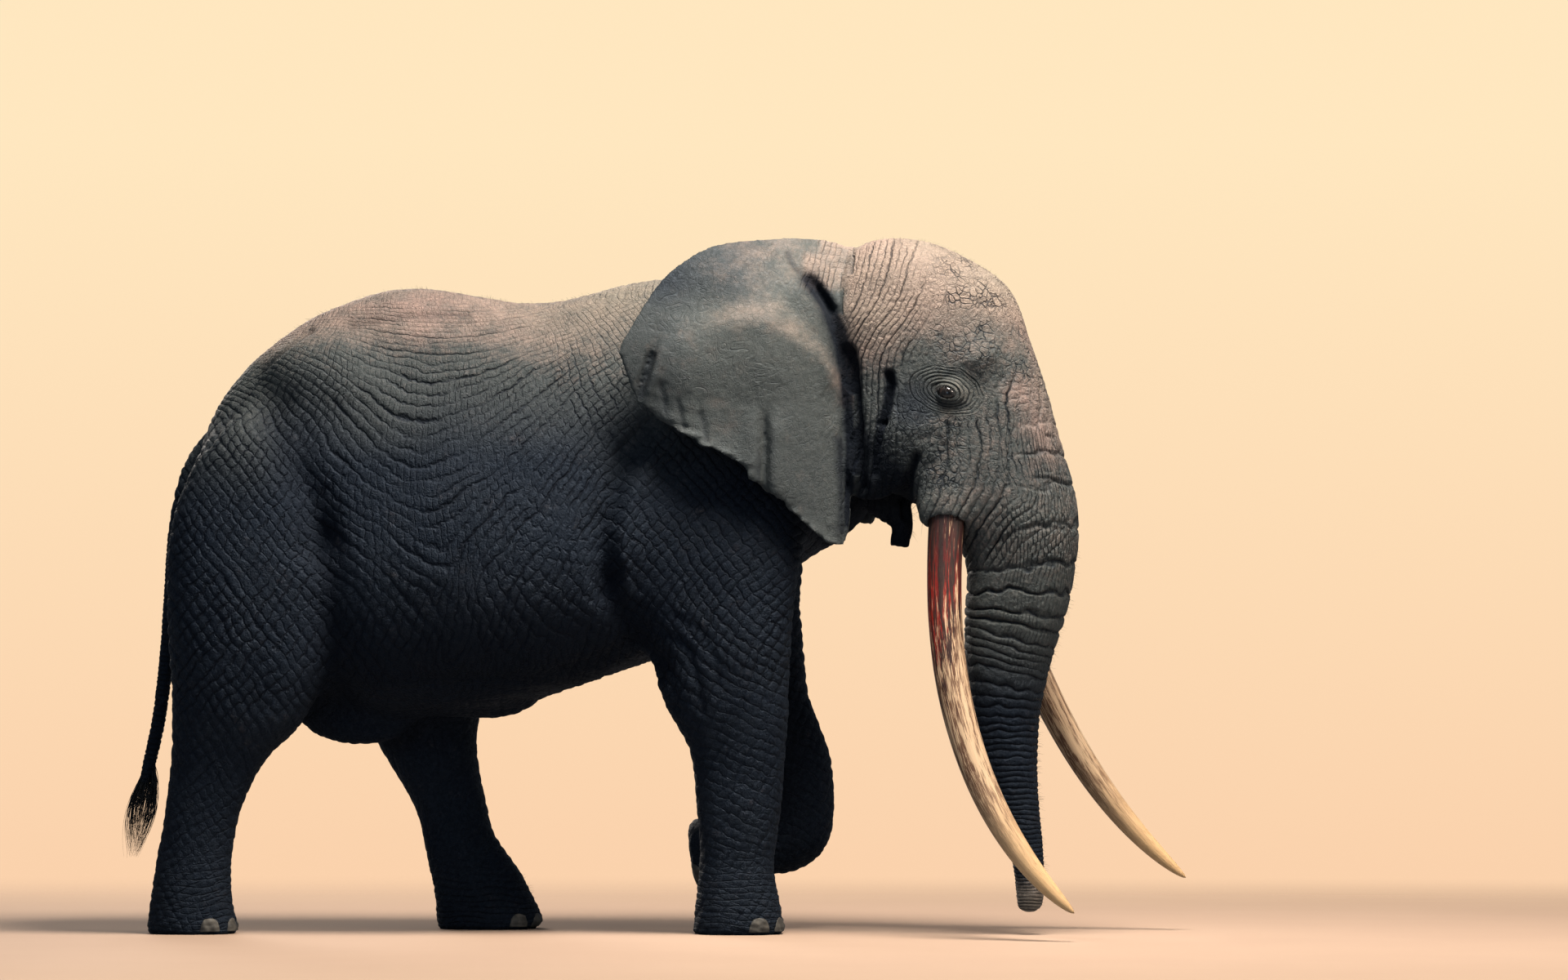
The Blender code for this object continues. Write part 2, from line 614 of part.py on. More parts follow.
def settle(pieces, helpers):
    """Fix every piece's shape and move all to stand centred over the origin."""
    solid = {piece: evaluated_mesh(piece) for piece in pieces.objects}
    corners = [v.co for mesh in solid.values() for v in mesh.vertices]
    middle = [(min(c[k] for c in corners) + max(c[k] for c in corners)) / 2 for k in (0, 1)]
    shift = Matrix.Translation((-middle[0], -middle[1], 0.0))
    for piece, mesh in solid.items():
        piece.modifiers.clear()
        piece.data = mesh
        mesh.transform(shift)
    for helper in helpers.objects:
        helper.modifiers.clear()
        helper.data.transform(shift)


def build():
    clear_scene()
    pieces = bpy.data.collections.new("elephant")
    helpers = bpy.data.collections.new("cutters")
    for collection in (pieces, helpers):
        bpy.context.scene.collection.children.link(collection)
    skin = principled("skin", (0.16, 0.15, 0.145), 0.85)
    ivory = principled("ivory", (0.74, 0.60, 0.42), 0.42)
    eye_black = principled("eye", (0.03, 0.022, 0.018), 0.08)
    hair = principled("hair", (0.02, 0.02, 0.022), 0.6)

    flesh = fused_flesh(helpers)
    outer = grown("flesh grown", flesh, HANG_GAP, helpers)
    turn = head_turn()

    # What is set into the flesh cuts its own socket.
    for name, tusk in TUSKS.items():
        add_object(name, tusk_mesh(name, tusk), pieces, ivory)
    for name, side in (("eye_right", RIGHT), ("eye_left", LEFT)):
        ball = swelling(name, Swelling(*EYE_CENTRE, *([EYE_RADIUS] * 3), 0), side, turn, 10)
        add_object(name, ball, pieces, eye_black)
    for inset in list(pieces.objects):
        boolean(flesh, "DIFFERENCE", grown(f"{inset.name} socket", inset, GAP, helpers))

    ear("ear_right", RIGHT, skin, pieces, outer)
    ear("ear_left", LEFT, skin, pieces, outer)
    tail = add_object("tail", loft("tail", ring_rows(TAIL), sides=12, steps=2), pieces, skin)
    boolean(tail, "DIFFERENCE", outer)
    brush = loft("tail_tuft", ring_rows(TUFT), sides=12, steps=2)
    tuft = add_object("tail_tuft", brush, pieces, hair)
    boolean(tuft, "DIFFERENCE", grown("tail grown", tail, GAP, helpers))
    chin = loft("lower_jaw", ring_rows(JAW), sides=18, steps=2, matrix=turn)
    jaw = add_object("lower_jaw", chin, pieces, skin)
    boolean(jaw, "DIFFERENCE", outer)

    flesh.data = evaluated_mesh(flesh)
    flesh.modifiers.clear()
    for name, cut in CUTS.items():
        add_object(name, split_off(name, flesh, cut, helpers), pieces, skin)
    add_object("torso", flesh.data.copy(), pieces, skin)
    settle(pieces, helpers)


build()
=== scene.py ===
"""Studio scene of a life-size African bush elephant bull in mid-stride, a still museum model.

One wrinkled skin stands for all the flesh, with the tusks, eyes, nails and hair as pieces of
their own. Shapes are worked out in the drawing frame, which has its origin under the withers:
x runs forwards, y to the animal's left and z up. Row frame = drawing frame + SHIFT.
"""

import math

import bmesh
import bpy
import numpy as np
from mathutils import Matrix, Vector
from mathutils.bvhtree import BVHTree


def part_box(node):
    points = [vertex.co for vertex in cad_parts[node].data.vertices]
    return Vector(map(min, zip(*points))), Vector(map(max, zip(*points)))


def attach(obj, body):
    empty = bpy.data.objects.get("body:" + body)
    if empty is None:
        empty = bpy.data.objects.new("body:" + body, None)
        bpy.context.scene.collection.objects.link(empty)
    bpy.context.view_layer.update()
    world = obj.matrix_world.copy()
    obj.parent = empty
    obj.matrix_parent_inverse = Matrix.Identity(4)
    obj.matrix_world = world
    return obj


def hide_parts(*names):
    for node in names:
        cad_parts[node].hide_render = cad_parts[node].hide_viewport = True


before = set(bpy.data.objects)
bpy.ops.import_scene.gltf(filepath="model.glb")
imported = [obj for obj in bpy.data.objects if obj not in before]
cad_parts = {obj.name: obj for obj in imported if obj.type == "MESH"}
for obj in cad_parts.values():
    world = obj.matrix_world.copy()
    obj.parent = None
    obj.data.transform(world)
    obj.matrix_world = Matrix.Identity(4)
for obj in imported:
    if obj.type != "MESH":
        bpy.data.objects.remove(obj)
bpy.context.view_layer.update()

# ---------------------------------------------------------------- places and sizes, in metres
EYES_MIDDLE = Vector((2.2237, -0.2609, 2.646))
EYE_CORNERS = [*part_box("eye_right"), *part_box("eye_left")]
SHIFT = np.array(sum(EYE_CORNERS, Vector()) / 4 - EYES_MIDDLE)
SHIFT[2] = 0.0
HEAD_TURN = math.radians(15.0)
HEAD_PIVOT = np.array((1.25, 0.0, 2.7))
RIGHT, LEFT = -1, 1
EYE_PLACE = np.array((2.258, 0.350, 2.646))
EYE_RADIUS = 0.047
EYE_SLANT = math.radians(-16.0)
# Half sizes of the slit between the lids: to its rear and front corners, up and down.
SLIT_REAR, SLIT_FRONT, SLIT_UP, SLIT_DOWN = 0.056, 0.046, 0.035, 0.029
LID_FOLD_GAP = 0.42  # between the folds round the eye, in slit sizes
COAT_DEPTH = 0.003  # how far the skin lies inside the smooth flesh
LONG_CREASE_GAP, CROSS_CREASE_GAP = 0.043, 0.038
BRICK_SHIFT = 0.618034  # how far each row of cross creases is shifted from the last
WELD = ("WELD", {"merge_threshold": 0.0002})
FLESH = (
    "torso neck head trunk_upper trunk_lower foreleg_right foreleg_left hindleg_right "
    "hindleg_left forefoot_right forefoot_left hindfoot_right hindfoot_left"
).split()
LIMB_ENDS = ("tail", "lower_jaw")
BASE_VOXEL = 0.020
SKIN_VOXEL = 0.0100
FLOOR_REACH, FLOOR_POINTS = 30.0, 64
CAMERA_PLACE = (2.092, -23.909, 1.05)
CAMERA_LENS = 109.8  # millimetres
CAMERA_YAW, CAMERA_TILT = math.radians(1.87), math.radians(2.76)

# ---------------------------------------------------------------- numbers
RANDOM = np.random.default_rng(11)
LATTICE = (RANDOM.random((32, 32, 32)) * 2 - 1).astype(np.float32)
JITTER = RANDOM.uniform(0.12, 0.88, (16, 16, 16, 3)).astype(np.float32)


def noise(points, size, seed=0.0):
    """Smooth value noise from -1 to 1, with features about size metres wide."""
    q = points / size + seed * 7.31
    base = np.floor(q).astype(np.int32)
    f = (q - base).astype(np.float32)
    f = f * f * (3 - 2 * f)
    total = np.zeros(len(points), np.float32)
    for corner in range(8):
        step = np.array((corner & 1, corner >> 1 & 1, corner >> 2 & 1))
        share = np.where(step, f, 1 - f).prod(1)
        cell = (base + step) & 31
        total += share * LATTICE[cell[:, 0], cell[:, 1], cell[:, 2]]
    return total


def fractal(points, size, octaves=3, seed=0.0):
    total = np.zeros(len(points), np.float32)
    for octave in range(octaves):
        total += noise(points, size / 2**octave, seed + octave) / 2**octave
    return total / (2 - 2 ** (1 - octaves))


def cells(points, size, seed=0.0):
    """Distances to the nearest and second nearest seed of a jittered lattice, in cell widths."""
    q = (points / size + seed * 3.7).astype(np.float32)
    base = np.floor(q - 0.5).astype(np.int32)
    first = np.full(len(points), 9.0, np.float32)
    second = first.copy()
    for corner in range(8):
        cell = base + np.array((corner & 1, corner >> 1 & 1, corner >> 2 & 1))
        wrapped = cell & 15
        seedling = cell + JITTER[wrapped[:, 0], wrapped[:, 1], wrapped[:, 2]]
        away = np.sqrt(((q - seedling) ** 2).sum(1))
        second = np.minimum(second, np.maximum(first, away))
        first = np.minimum(first, away)
    return first, second


def ramp(value, low, high):
    """Smooth step from 0 at low to 1 at high; low may be above high."""
    t = np.clip((value - low) / (high - low), 0, 1)
    return t * t * (3 - 2 * t)


def bell(value, centre, width):
    return np.exp(-(((value - centre) / width) ** 2))


def spun(points, pivot, angle):
    """The points turned to the left by an angle about the upright line through the pivot."""
    c, s = math.cos(angle), math.sin(angle)
    d = points - pivot
    return np.stack((c * d[..., 0] - s * d[..., 1], s * d[..., 0] + c * d[..., 1], d[..., 2]), -1) + pivot


def to_head(points):
    """Drawing frame to the head's own frame, in which the head looks straight ahead."""
    return spun(points, HEAD_PIVOT, HEAD_TURN)


def from_head(points):
    return spun(np.atleast_2d(points), HEAD_PIVOT, -HEAD_TURN)


# ---------------------------------------------------------------- mesh tools
def vertices_of(mesh):
    co = np.empty(len(mesh.vertices) * 3, np.float32)
    mesh.vertices.foreach_get("co", co)
    return co.reshape(-1, 3).astype(np.float64)


def edges_of(mesh):
    edges = np.empty(len(mesh.edges) * 2, np.int32)
    mesh.edges.foreach_get("vertices", edges)
    return edges.reshape(-1, 2)


def corners_of(mesh):
    """The vertex at each face corner."""
    corners = np.empty(len(mesh.loops), np.int32)
    mesh.loops.foreach_get("vertex_index", corners)
    return corners


def normals_of(mesh):
    normals = np.empty(len(mesh.vertices) * 3, np.float32)
    mesh.vertex_normals.foreach_get("vector", normals)
    return normals.reshape(-1, 3)


def set_vertices(mesh, points):
    mesh.vertices.foreach_set("co", points.astype(np.float32).ravel())
    mesh.update()


def neighbour_mean(edges, count):
    """A function that gives each vertex the mean of its neighbours' values."""
    ends = np.concatenate((edges[:, 0], edges[:, 1]))
    others = np.concatenate((edges[:, 1], edges[:, 0]))
    degree = np.maximum(np.bincount(ends, minlength=count), 1)

    def mean(values):
        columns = [np.bincount(ends, values[others, k], count) / degree for k in range(values.shape[1])]
        return np.stack(columns, 1)

    return mean


def add_mesh(name, mesh, material):
    made = bpy.data.objects.new(name, mesh)
    bpy.context.scene.collection.objects.link(made)
    mesh.materials.clear()
    mesh.materials.append(material)
    mesh.polygons.foreach_set("use_smooth", [True] * len(mesh.polygons))
    return made


def mesh_from(name, points, faces):
    mesh = bpy.data.meshes.new(name)
    mesh.from_pydata(np.asarray(points, float).tolist(), [], np.asarray(faces).tolist())
    mesh.update()
    return mesh


def grid_faces(rows, columns):
    index = np.arange(rows * columns).reshape(rows, columns)
    return np.stack((index[:-1, :-1], index[1:, :-1], index[1:, 1:], index[:-1, 1:]), -1).reshape(-1, 4)


def shell_faces(rows, columns):
    """Faces of a closed shell whose points are an outer grid, then an inner one."""
    index = np.arange(rows * columns).reshape(rows, columns)
    outer = grid_faces(rows, columns)
    loop = np.concatenate((index[0, :], index[1:, -1], index[-1, -2::-1], index[-2:0:-1, 0]))
    after = np.roll(loop, -1)
    other = rows * columns
    wall = np.stack((loop, after, after + other, loop + other), -1)
    return np.concatenate((outer, outer[:, ::-1] + other, wall))


def applied(mesh, *modifiers):
    """The mesh with modifiers applied, each a (kind, settings) pair."""
    holder = bpy.data.objects.new("holder", mesh)
    bpy.context.scene.collection.objects.link(holder)
    for kind, settings in modifiers:
        modifier = holder.modifiers.new(kind, kind)
        for key, value in settings.items():
            setattr(modifier, key, value)
    graph = bpy.context.evaluated_depsgraph_get()
    made = bpy.data.meshes.new_from_object(holder.evaluated_get(graph))
    bpy.data.objects.remove(holder)
    return made


def mended(mesh, work=None):
    """Does the work on the mesh as a bmesh, then turns its faces outwards."""
    bm = bmesh.new()
    bm.from_mesh(mesh)
    bm.verts.ensure_lookup_table()
    if work:
        work(bm)
    bmesh.ops.recalc_face_normals(bm, faces=bm.faces)
    bm.to_mesh(mesh)
    bm.free()


def voxels(size):
    return ("REMESH", {"mode": "VOXEL", "voxel_size": size})


def joined(name, meshes):
    bm = bmesh.new()
    for mesh in meshes:
        bm.from_mesh(mesh)
    made = bpy.data.meshes.new(name)
    bm.to_mesh(made)
    bm.free()
    return made


def attribute(mesh, name, values):
    layer = mesh.attributes.new(name, "FLOAT_VECTOR", "POINT")
    layer.data.foreach_set("vector", values.astype(np.float32).ravel())


# ---------------------------------------------------------------- the flesh, smooth
def flesh_mesh():
    """The CAD flesh fused to one closed mesh and smoothed, in the row frame."""
    parts = []
    for name in FLESH:
        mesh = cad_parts[name].data.copy()
        mesh = applied(mesh, WELD, ("DISPLACE", {"strength": 0.002, "mid_level": 0.0}))
        parts.append(mesh)
    mesh = applied(joined("flesh", parts), voxels(BASE_VOXEL))
    raw = vertices_of(mesh)
    mean = neighbour_mean(edges_of(mesh), len(raw))
    drawn = raw - SHIFT
    fine = np.clip(ramp(to_head(drawn)[:, 0], 1.5, 1.8) + ramp(drawn[:, 2], 1.25, 0.95), 0, 1)[:, None]

    def blurred(values):
        soft = values
        for step in range(34):
            soft = mean(soft)
            if step == 9:
                near = soft
        return near * fine + soft * (1 - fine)

    soft = blurred(raw)
    soft = soft + blurred(raw - soft)
    on_floor = raw[:, 2] < 0.008
    soft[on_floor, 2] = 0.0
    set_vertices(mesh, soft)
    return applied(mesh, ("SUBSURF", {"levels": 1, "render_levels": 1}))


# ---------------------------------------------------------------- ears
EAR_ROOT_X = 1.62
EAR_RIM = np.array((
    (1.656, 3.398), (1.483, 3.433), (1.206, 3.419), (1.008, 3.392), (0.870, 3.324), (0.728, 3.198),
    (0.602, 2.994), (0.527, 2.822), (0.582, 2.652), (0.733, 2.485), (0.878, 2.406), (1.147, 2.239),
    (1.313, 2.108), (1.528, 1.933), (1.600, 1.909),
))
EAR_FRONT = np.array((
    (1.670, 3.400), (1.606, 3.119), (1.610, 2.896), (1.635, 2.659), (1.653, 2.336), (1.650, 2.014),
    (1.608, 1.907),
))
# The torn and scalloped lower edge, from the rear corner to the lowest point.
EAR_JAGS = (
    (0.526, 2.836), (0.553, 2.773), (0.584, 2.672), (0.611, 2.624), (0.621, 2.592), (0.653, 2.576),
    (0.696, 2.539), (0.701, 2.520), (0.749, 2.497), (0.791, 2.476), (0.823, 2.449), (0.871, 2.428),
    (0.892, 2.425), (0.914, 2.396), (0.935, 2.378), (0.951, 2.389), (0.972, 2.380), (1.036, 2.343),
    (1.100, 2.311), (1.142, 2.285), (1.151, 2.263), (1.158, 2.226), (1.185, 2.210), (1.216, 2.191),
    (1.238, 2.166), (1.269, 2.158), (1.296, 2.126), (1.306, 2.142), (1.320, 2.150), (1.327, 2.121),
    (1.338, 2.089), (1.375, 2.063), (1.401, 2.044), (1.412, 2.019), (1.438, 2.006), (1.459, 1.985),
    (1.486, 1.958), (1.512, 1.943), (1.528, 1.925), (1.554, 1.915), (1.576, 1.912),
)
EAR_ROWS, EAR_COLUMNS = 420, 130
# The deep fold at the ear's root, and the shelf-like ridge across its upper part: x and z.
EAR_VALLEY = ((1.662, 1.652, 1.632, 1.568, 1.476, 1.388, 1.340), (2.60, 2.70, 2.86, 3.04, 3.19, 3.31, 3.40))
EAR_SHELF = ((0.62, 0.85, 1.02, 1.26, 1.50, 1.62), (2.84, 2.90, 2.96, 2.99, 2.83, 2.62))
# Broad swells and hollows of the ear: x, z, height and width.
EAR_SWELLS = ((0.85, 2.75, 0.014, 0.16), (1.25, 2.60, -0.012, 0.14), (0.9, 3.1, -0.01, 0.15))
LEFT_EAR_OPEN = math.radians(10.0)
LEFT_EAR_MOVE = np.array((0.13, -0.215, 0.0))
LEFT_EAR_HEIGHT = 0.91


def along(rows, shares):
    """Catmull-Rom through the rows, sampled at shares from 0 to 1."""
    rows = np.asarray(rows, float)
    ends = np.concatenate((2 * rows[:1] - rows[1:2], rows, 2 * rows[-1:] - rows[-2:-1]))
    place = np.clip(np.asarray(shares, float), 0, 1) * (len(rows) - 1)
    index = np.minimum(place.astype(int), len(rows) - 2)
    t = (place - index)[:, None]
    a, b, c, d = (ends[index + k] for k in range(4))
    return 0.5 * (2 * b + (c - a) * t + (2 * a - 5 * b + 4 * c - d) * t**2 + (3 * b - a - 3 * c + d) * t**3)


def ear_depth(x, z):
    back = np.maximum(0.0, EAR_ROOT_X - x)
    lean = 0.455 + 0.15 * np.sin(np.minimum(back / 0.42, 1.0) * np.pi / 2) + 0.125 * back
    over_neck = 0.21 * np.maximum(0.0, (z - 2.98) / 0.46) ** 1.6
    bulge = 0.045 * np.exp(-(((x - 1.2) / 0.3) ** 2) - ((z - 2.75) / 0.45) ** 2)
    flare = 0.05 * np.maximum(0.0, (2.6 - z) / 0.65)
    return lean - over_neck + bulge + flare


def ear_folding(x, z):
    """How far the ear's folds push it out: the valley at its root, its shelf and its front edge."""
    middle = np.interp(z, EAR_VALLEY[1], EAR_VALLEY[0])
    deep = ramp(z, 3.28, 3.12) * ramp(z, 2.62, 2.76)
    push = 0.022 * bell(x, middle - 0.095, 0.050) - 0.085 * bell(x, middle, 0.036)
    push = push + 0.022 * bell(x, middle + 0.052, 0.018) * ramp(z, 2.75, 2.9)
    shelf = np.interp(x, *EAR_SHELF)
    above = 0.034 * ramp(z, shelf - 0.03, shelf + 0.16) * ramp(x, 0.60, 0.95)
    return deep * push - above - 0.035 * ramp(x, 1.588, 1.640) * ramp(z, 2.62, 2.40)


def ear_grid():
    """Middle surface of the right ear: (rows, columns, 3) points, with their shares out and down."""
    down = np.linspace(0, 1, EAR_ROWS + 1)
    out = np.concatenate((np.linspace(-0.09, 0, 12, endpoint=False), np.linspace(0, 1, EAR_COLUMNS + 1)))
    front, rim = along(EAR_FRONT, down), along(EAR_RIM, down)
    jags = np.array(EAR_JAGS)
    walked = np.concatenate(((0,), np.cumsum(np.hypot(*np.diff(jags, axis=0).T))))
    shares = 0.5 + (0.945 - 0.5) * walked / walked[-1]
    torn = (down >= 0.5) & (down <= 0.945)
    rim[torn] = np.stack([np.interp(down[torn], shares, jags[:, k]) for k in (0, 1)], 1)
    share = np.clip(out, 0, 1)[None, :, None]
    flat = front[:, None] * (1 - share) + rim[:, None] * share
    x, z = flat[..., 0], flat[..., 1]
    row, column = np.meshgrid(down, out, indexing="ij")
    inside = np.clip(-column, 0, 1) / 0.09
    held = ramp(row, 0.66, 0.56) * ramp(row, 0.0, 0.03)
    outward = np.clip(column, 0, 1)
    y = ear_depth(x, z)
    y = y + 0.016 * np.sin(row * 9 * np.pi) * outward**3 * np.minimum(1, row * 3)
    spots = np.stack((x, y * 0 + 3, z), -1).reshape(-1, 3)
    y = y + (noise(spots, 0.22, 3) * 0.010).reshape(y.shape) * outward
    ruffle = np.sin(row * 60 * np.pi + 9 * noise(spots, 0.25, 5).reshape(y.shape)) * ramp(outward, 0.78, 1)
    y = y + 0.008 * ruffle * ramp(row, 0.42, 0.55) * ramp(noise(spots, 0.2, 9).reshape(y.shape), -0.4, 0.3)
    lower = ramp(z, 2.60, 2.42)
    y = y - 0.045 * bell(x, 1.239, 0.022) * lower + 0.016 * bell(x, 1.300, 0.035) * lower
    y = y + 0.012 * bell(x, 1.175, 0.035) * lower
    corner = 0.692 - 0.35 * (2.843 - z)
    y = y - 0.030 * bell(x, corner, 0.020) * bell(z, 2.78, 0.13)
    y = y + 0.018 * bell(x, corner + 0.055, 0.030) * bell(z, 2.74, 0.16)
    y = y + ear_folding(x, z)
    for spot_x, spot_z, high, wide in EAR_SWELLS:
        y = y + high * np.exp(-(((x - spot_x) ** 2 + (z - spot_z) ** 2) / wide**2))
    x = x + 0.05 * inside * held
    y = y - 0.10 * inside * held
    return np.stack((x, -y, z), -1), row, column


EAR_HINGE = np.array((EAR_ROOT_X, float(ear_depth(np.array(EAR_ROOT_X), np.array(2.7))), 0))


def place_left_ear(points):
    """The right ear's points carried to the left side, opened, lowered and moved."""
    p = points * (1, -1, 1)
    top = EAR_FRONT[0, 1]
    p[..., 2] = top + (p[..., 2] - top) * LEFT_EAR_HEIGHT
    return spun(p, EAR_HINGE, -LEFT_EAR_OPEN) + LEFT_EAR_MOVE


def back_to_right_ear(points):
    """Left ear points carried to the right ear's place, the other way round."""
    p = spun(points - LEFT_EAR_MOVE, EAR_HINGE, LEFT_EAR_OPEN)
    top = EAR_FRONT[0, 1]
    p[:, 2] = top + (p[:, 2] - top) / LEFT_EAR_HEIGHT
    return p * (1, -1, 1)


def ear_shell(grid, row, column, side):
    """A closed blade round the middle surface, thin at the rim."""
    outward = np.clip(column, 0, 1)
    edge = np.minimum(1 - outward, np.minimum(row, 1 - row) * 4)
    half = 0.5 * (0.034 + (0.019 - 0.034) * ramp(outward, 0.0, 0.55)) * np.sqrt(ramp(edge, -0.012, 0.02))
    across = np.gradient(grid, axis=1)
    down = np.gradient(grid, axis=0)
    normal = np.cross(across, down)
    normal /= np.maximum(np.linalg.norm(normal, axis=2), 1e-9)[..., None]
    outer, inner = grid + normal * half[..., None], grid - normal * half[..., None]
    points = np.concatenate((outer.reshape(-1, 3), inner.reshape(-1, 3))) + SHIFT
    mesh = mesh_from("ear", points, shell_faces(*row.shape))
    mended(mesh, lambda bm: bmesh.ops.remove_doubles(bm, verts=bm.verts, dist=0.0004))
    return mesh


# ---------------------------------------------------------------- wrinkle fields
BODY_GRID = ((-2.0, 3.0), (0.0, 3.6), 0.04)
HEAD_GRID = ((1.3, 2.95), (1.6, 3.6), 0.02)
# Directions of the main creases seen from the animal's right: x, z and degrees above forwards.
SAMPLES = (
    (-1.29, 2.57, -65), (-1.13, 2.33, -60), (-0.97, 2.41, -75), (-1.53, 2.17, -60),
    (-1.53, 1.70, -55), (-1.37, 1.38, -55), (-0.82, 2.17, -45), (-0.62, 2.01, -30),
    (-0.78, 2.57, -62), (-0.68, 2.36, -52), (-0.56, 2.24, -18), (-0.44, 2.22, 6), (-1.17, 2.49, -52),
    (-0.40, 2.05, -12), (-0.52, 2.45, -22), (-0.36, 2.40, 10), (-0.20, 2.55, 16), (-0.50, 2.72, -20),
    (-0.20, 2.80, 0), (0.12, 2.62, 32),
    (-0.26, 2.01, 25), (-0.26, 2.17, 22), (-0.10, 2.33, 28), (-0.02, 2.09, 38), (0.06, 2.41, 40),
    (-0.10, 1.85, 45), (0.10, 1.85, 66), (0.21, 2.13, 66), (0.26, 2.57, 50), (0.30, 2.33, 65),
    (0.38, 2.17, 72), (0.14, 2.77, 38), (0.46, 2.49, 62), (0.46, 2.73, 55), (0.54, 2.65, 60),
    (0.54, 2.97, 45), (0.66, 3.17, 35), (0.38, 2.97, 40), (-0.70, 2.97, -15), (-0.26, 2.97, -5),
    (0.10, 2.97, 10), (0.38, 3.07, 20), (-0.02, 1.62, 72), (0.22, 1.77, 78), (0.46, 2.01, 80),
    (0.30, 1.46, 82), (0.62, 2.33, 60), (0.69, 2.01, 45), (0.93, 1.85, 40), (1.17, 1.77, 35),
    (2.02, 3.36, 65), (1.93, 3.19, 63), (1.88, 3.09, 58), (1.81, 2.99, 55), (1.74, 3.25, 80),
    (1.73, 2.89, 65), (1.71, 2.77, 75), (1.69, 2.65, 80), (2.09, 3.25, 60), (2.21, 3.17, 45),
    (2.29, 3.13, 35), (2.37, 3.05, 15), (2.44, 2.97, -20), (2.35, 2.53, -60), (2.42, 2.41, -62),
    (2.39, 2.29, -75), (2.52, 2.49, -60), (2.56, 2.33, -65), (2.09, 2.17, 60), (2.15, 2.05, 75),
    (2.21, 2.09, 65), (2.44, 1.91, 15), (2.56, 1.81, 5), (2.52, 1.70, 0), (-0.62, 1.70, -55),
    (-0.90, 1.62, -60), (-0.42, 1.70, -40), (-1.17, 1.77, -50), (1.01, 1.46, 75), (0.81, 1.54, 60),
    (1.21, 1.30, 85),
)
# The same on the head, with the distance between creases.
HEAD_SAMPLES = (
    (1.61, 3.30, 88, 0.025), (1.71, 3.25, 87, 0.025), (1.79, 3.30, 85, 0.026), (1.88, 3.30, 82, 0.028),
    (1.97, 3.29, 77, 0.03), (2.03, 3.21, 72, 0.032), (1.88, 3.10, 55, 0.028), (1.80, 2.99, 42, 0.028),
    (1.74, 2.93, 50, 0.028), (1.69, 2.79, 80, 0.028), (1.66, 2.68, 90, 0.028), (1.72, 2.65, 88, 0.028),
    (1.78, 2.73, 85, 0.03), (1.68, 2.50, 90, 0.035), (2.11, 3.25, 60, 0.04), (2.22, 3.21, 40, 0.045),
    (2.34, 3.19, 20, 0.045), (2.41, 3.07, 0, 0.04), (1.93, 2.68, 52, 0.032), (1.88, 2.79, 40, 0.04),
    (2.02, 2.85, 20, 0.04), (2.17, 2.86, 0, 0.04), (2.27, 2.77, -20, 0.04), (2.33, 2.56, 107, 0.04),
    (2.38, 2.47, 113, 0.042), (2.45, 2.49, 119, 0.045), (2.54, 2.38, 115, 0.045),
    (2.57, 2.26, 118, 0.045), (2.36, 2.33, 95, 0.04), (2.38, 2.16, 82, 0.035), (2.27, 2.33, 75, 0.035),
    (2.18, 2.24, 68, 0.035), (2.20, 2.07, 63, 0.032), (2.28, 1.99, 58, 0.032), (2.39, 1.99, 62, 0.032),
    (2.51, 2.05, 30, 0.035), (2.57, 1.97, 20, 0.04), (2.62, 2.13, 86, 0.022), (2.68, 2.36, 100, 0.03),
    (2.63, 2.56, 100, 0.03), (2.05, 2.16, 80, 0.035), (2.09, 2.05, 65, 0.03), (1.88, 2.50, 60, 0.035),
    (1.82, 2.33, 80, 0.035), (2.22, 2.47, 60, 0.035), (2.29, 2.68, 80, 0.035),
)
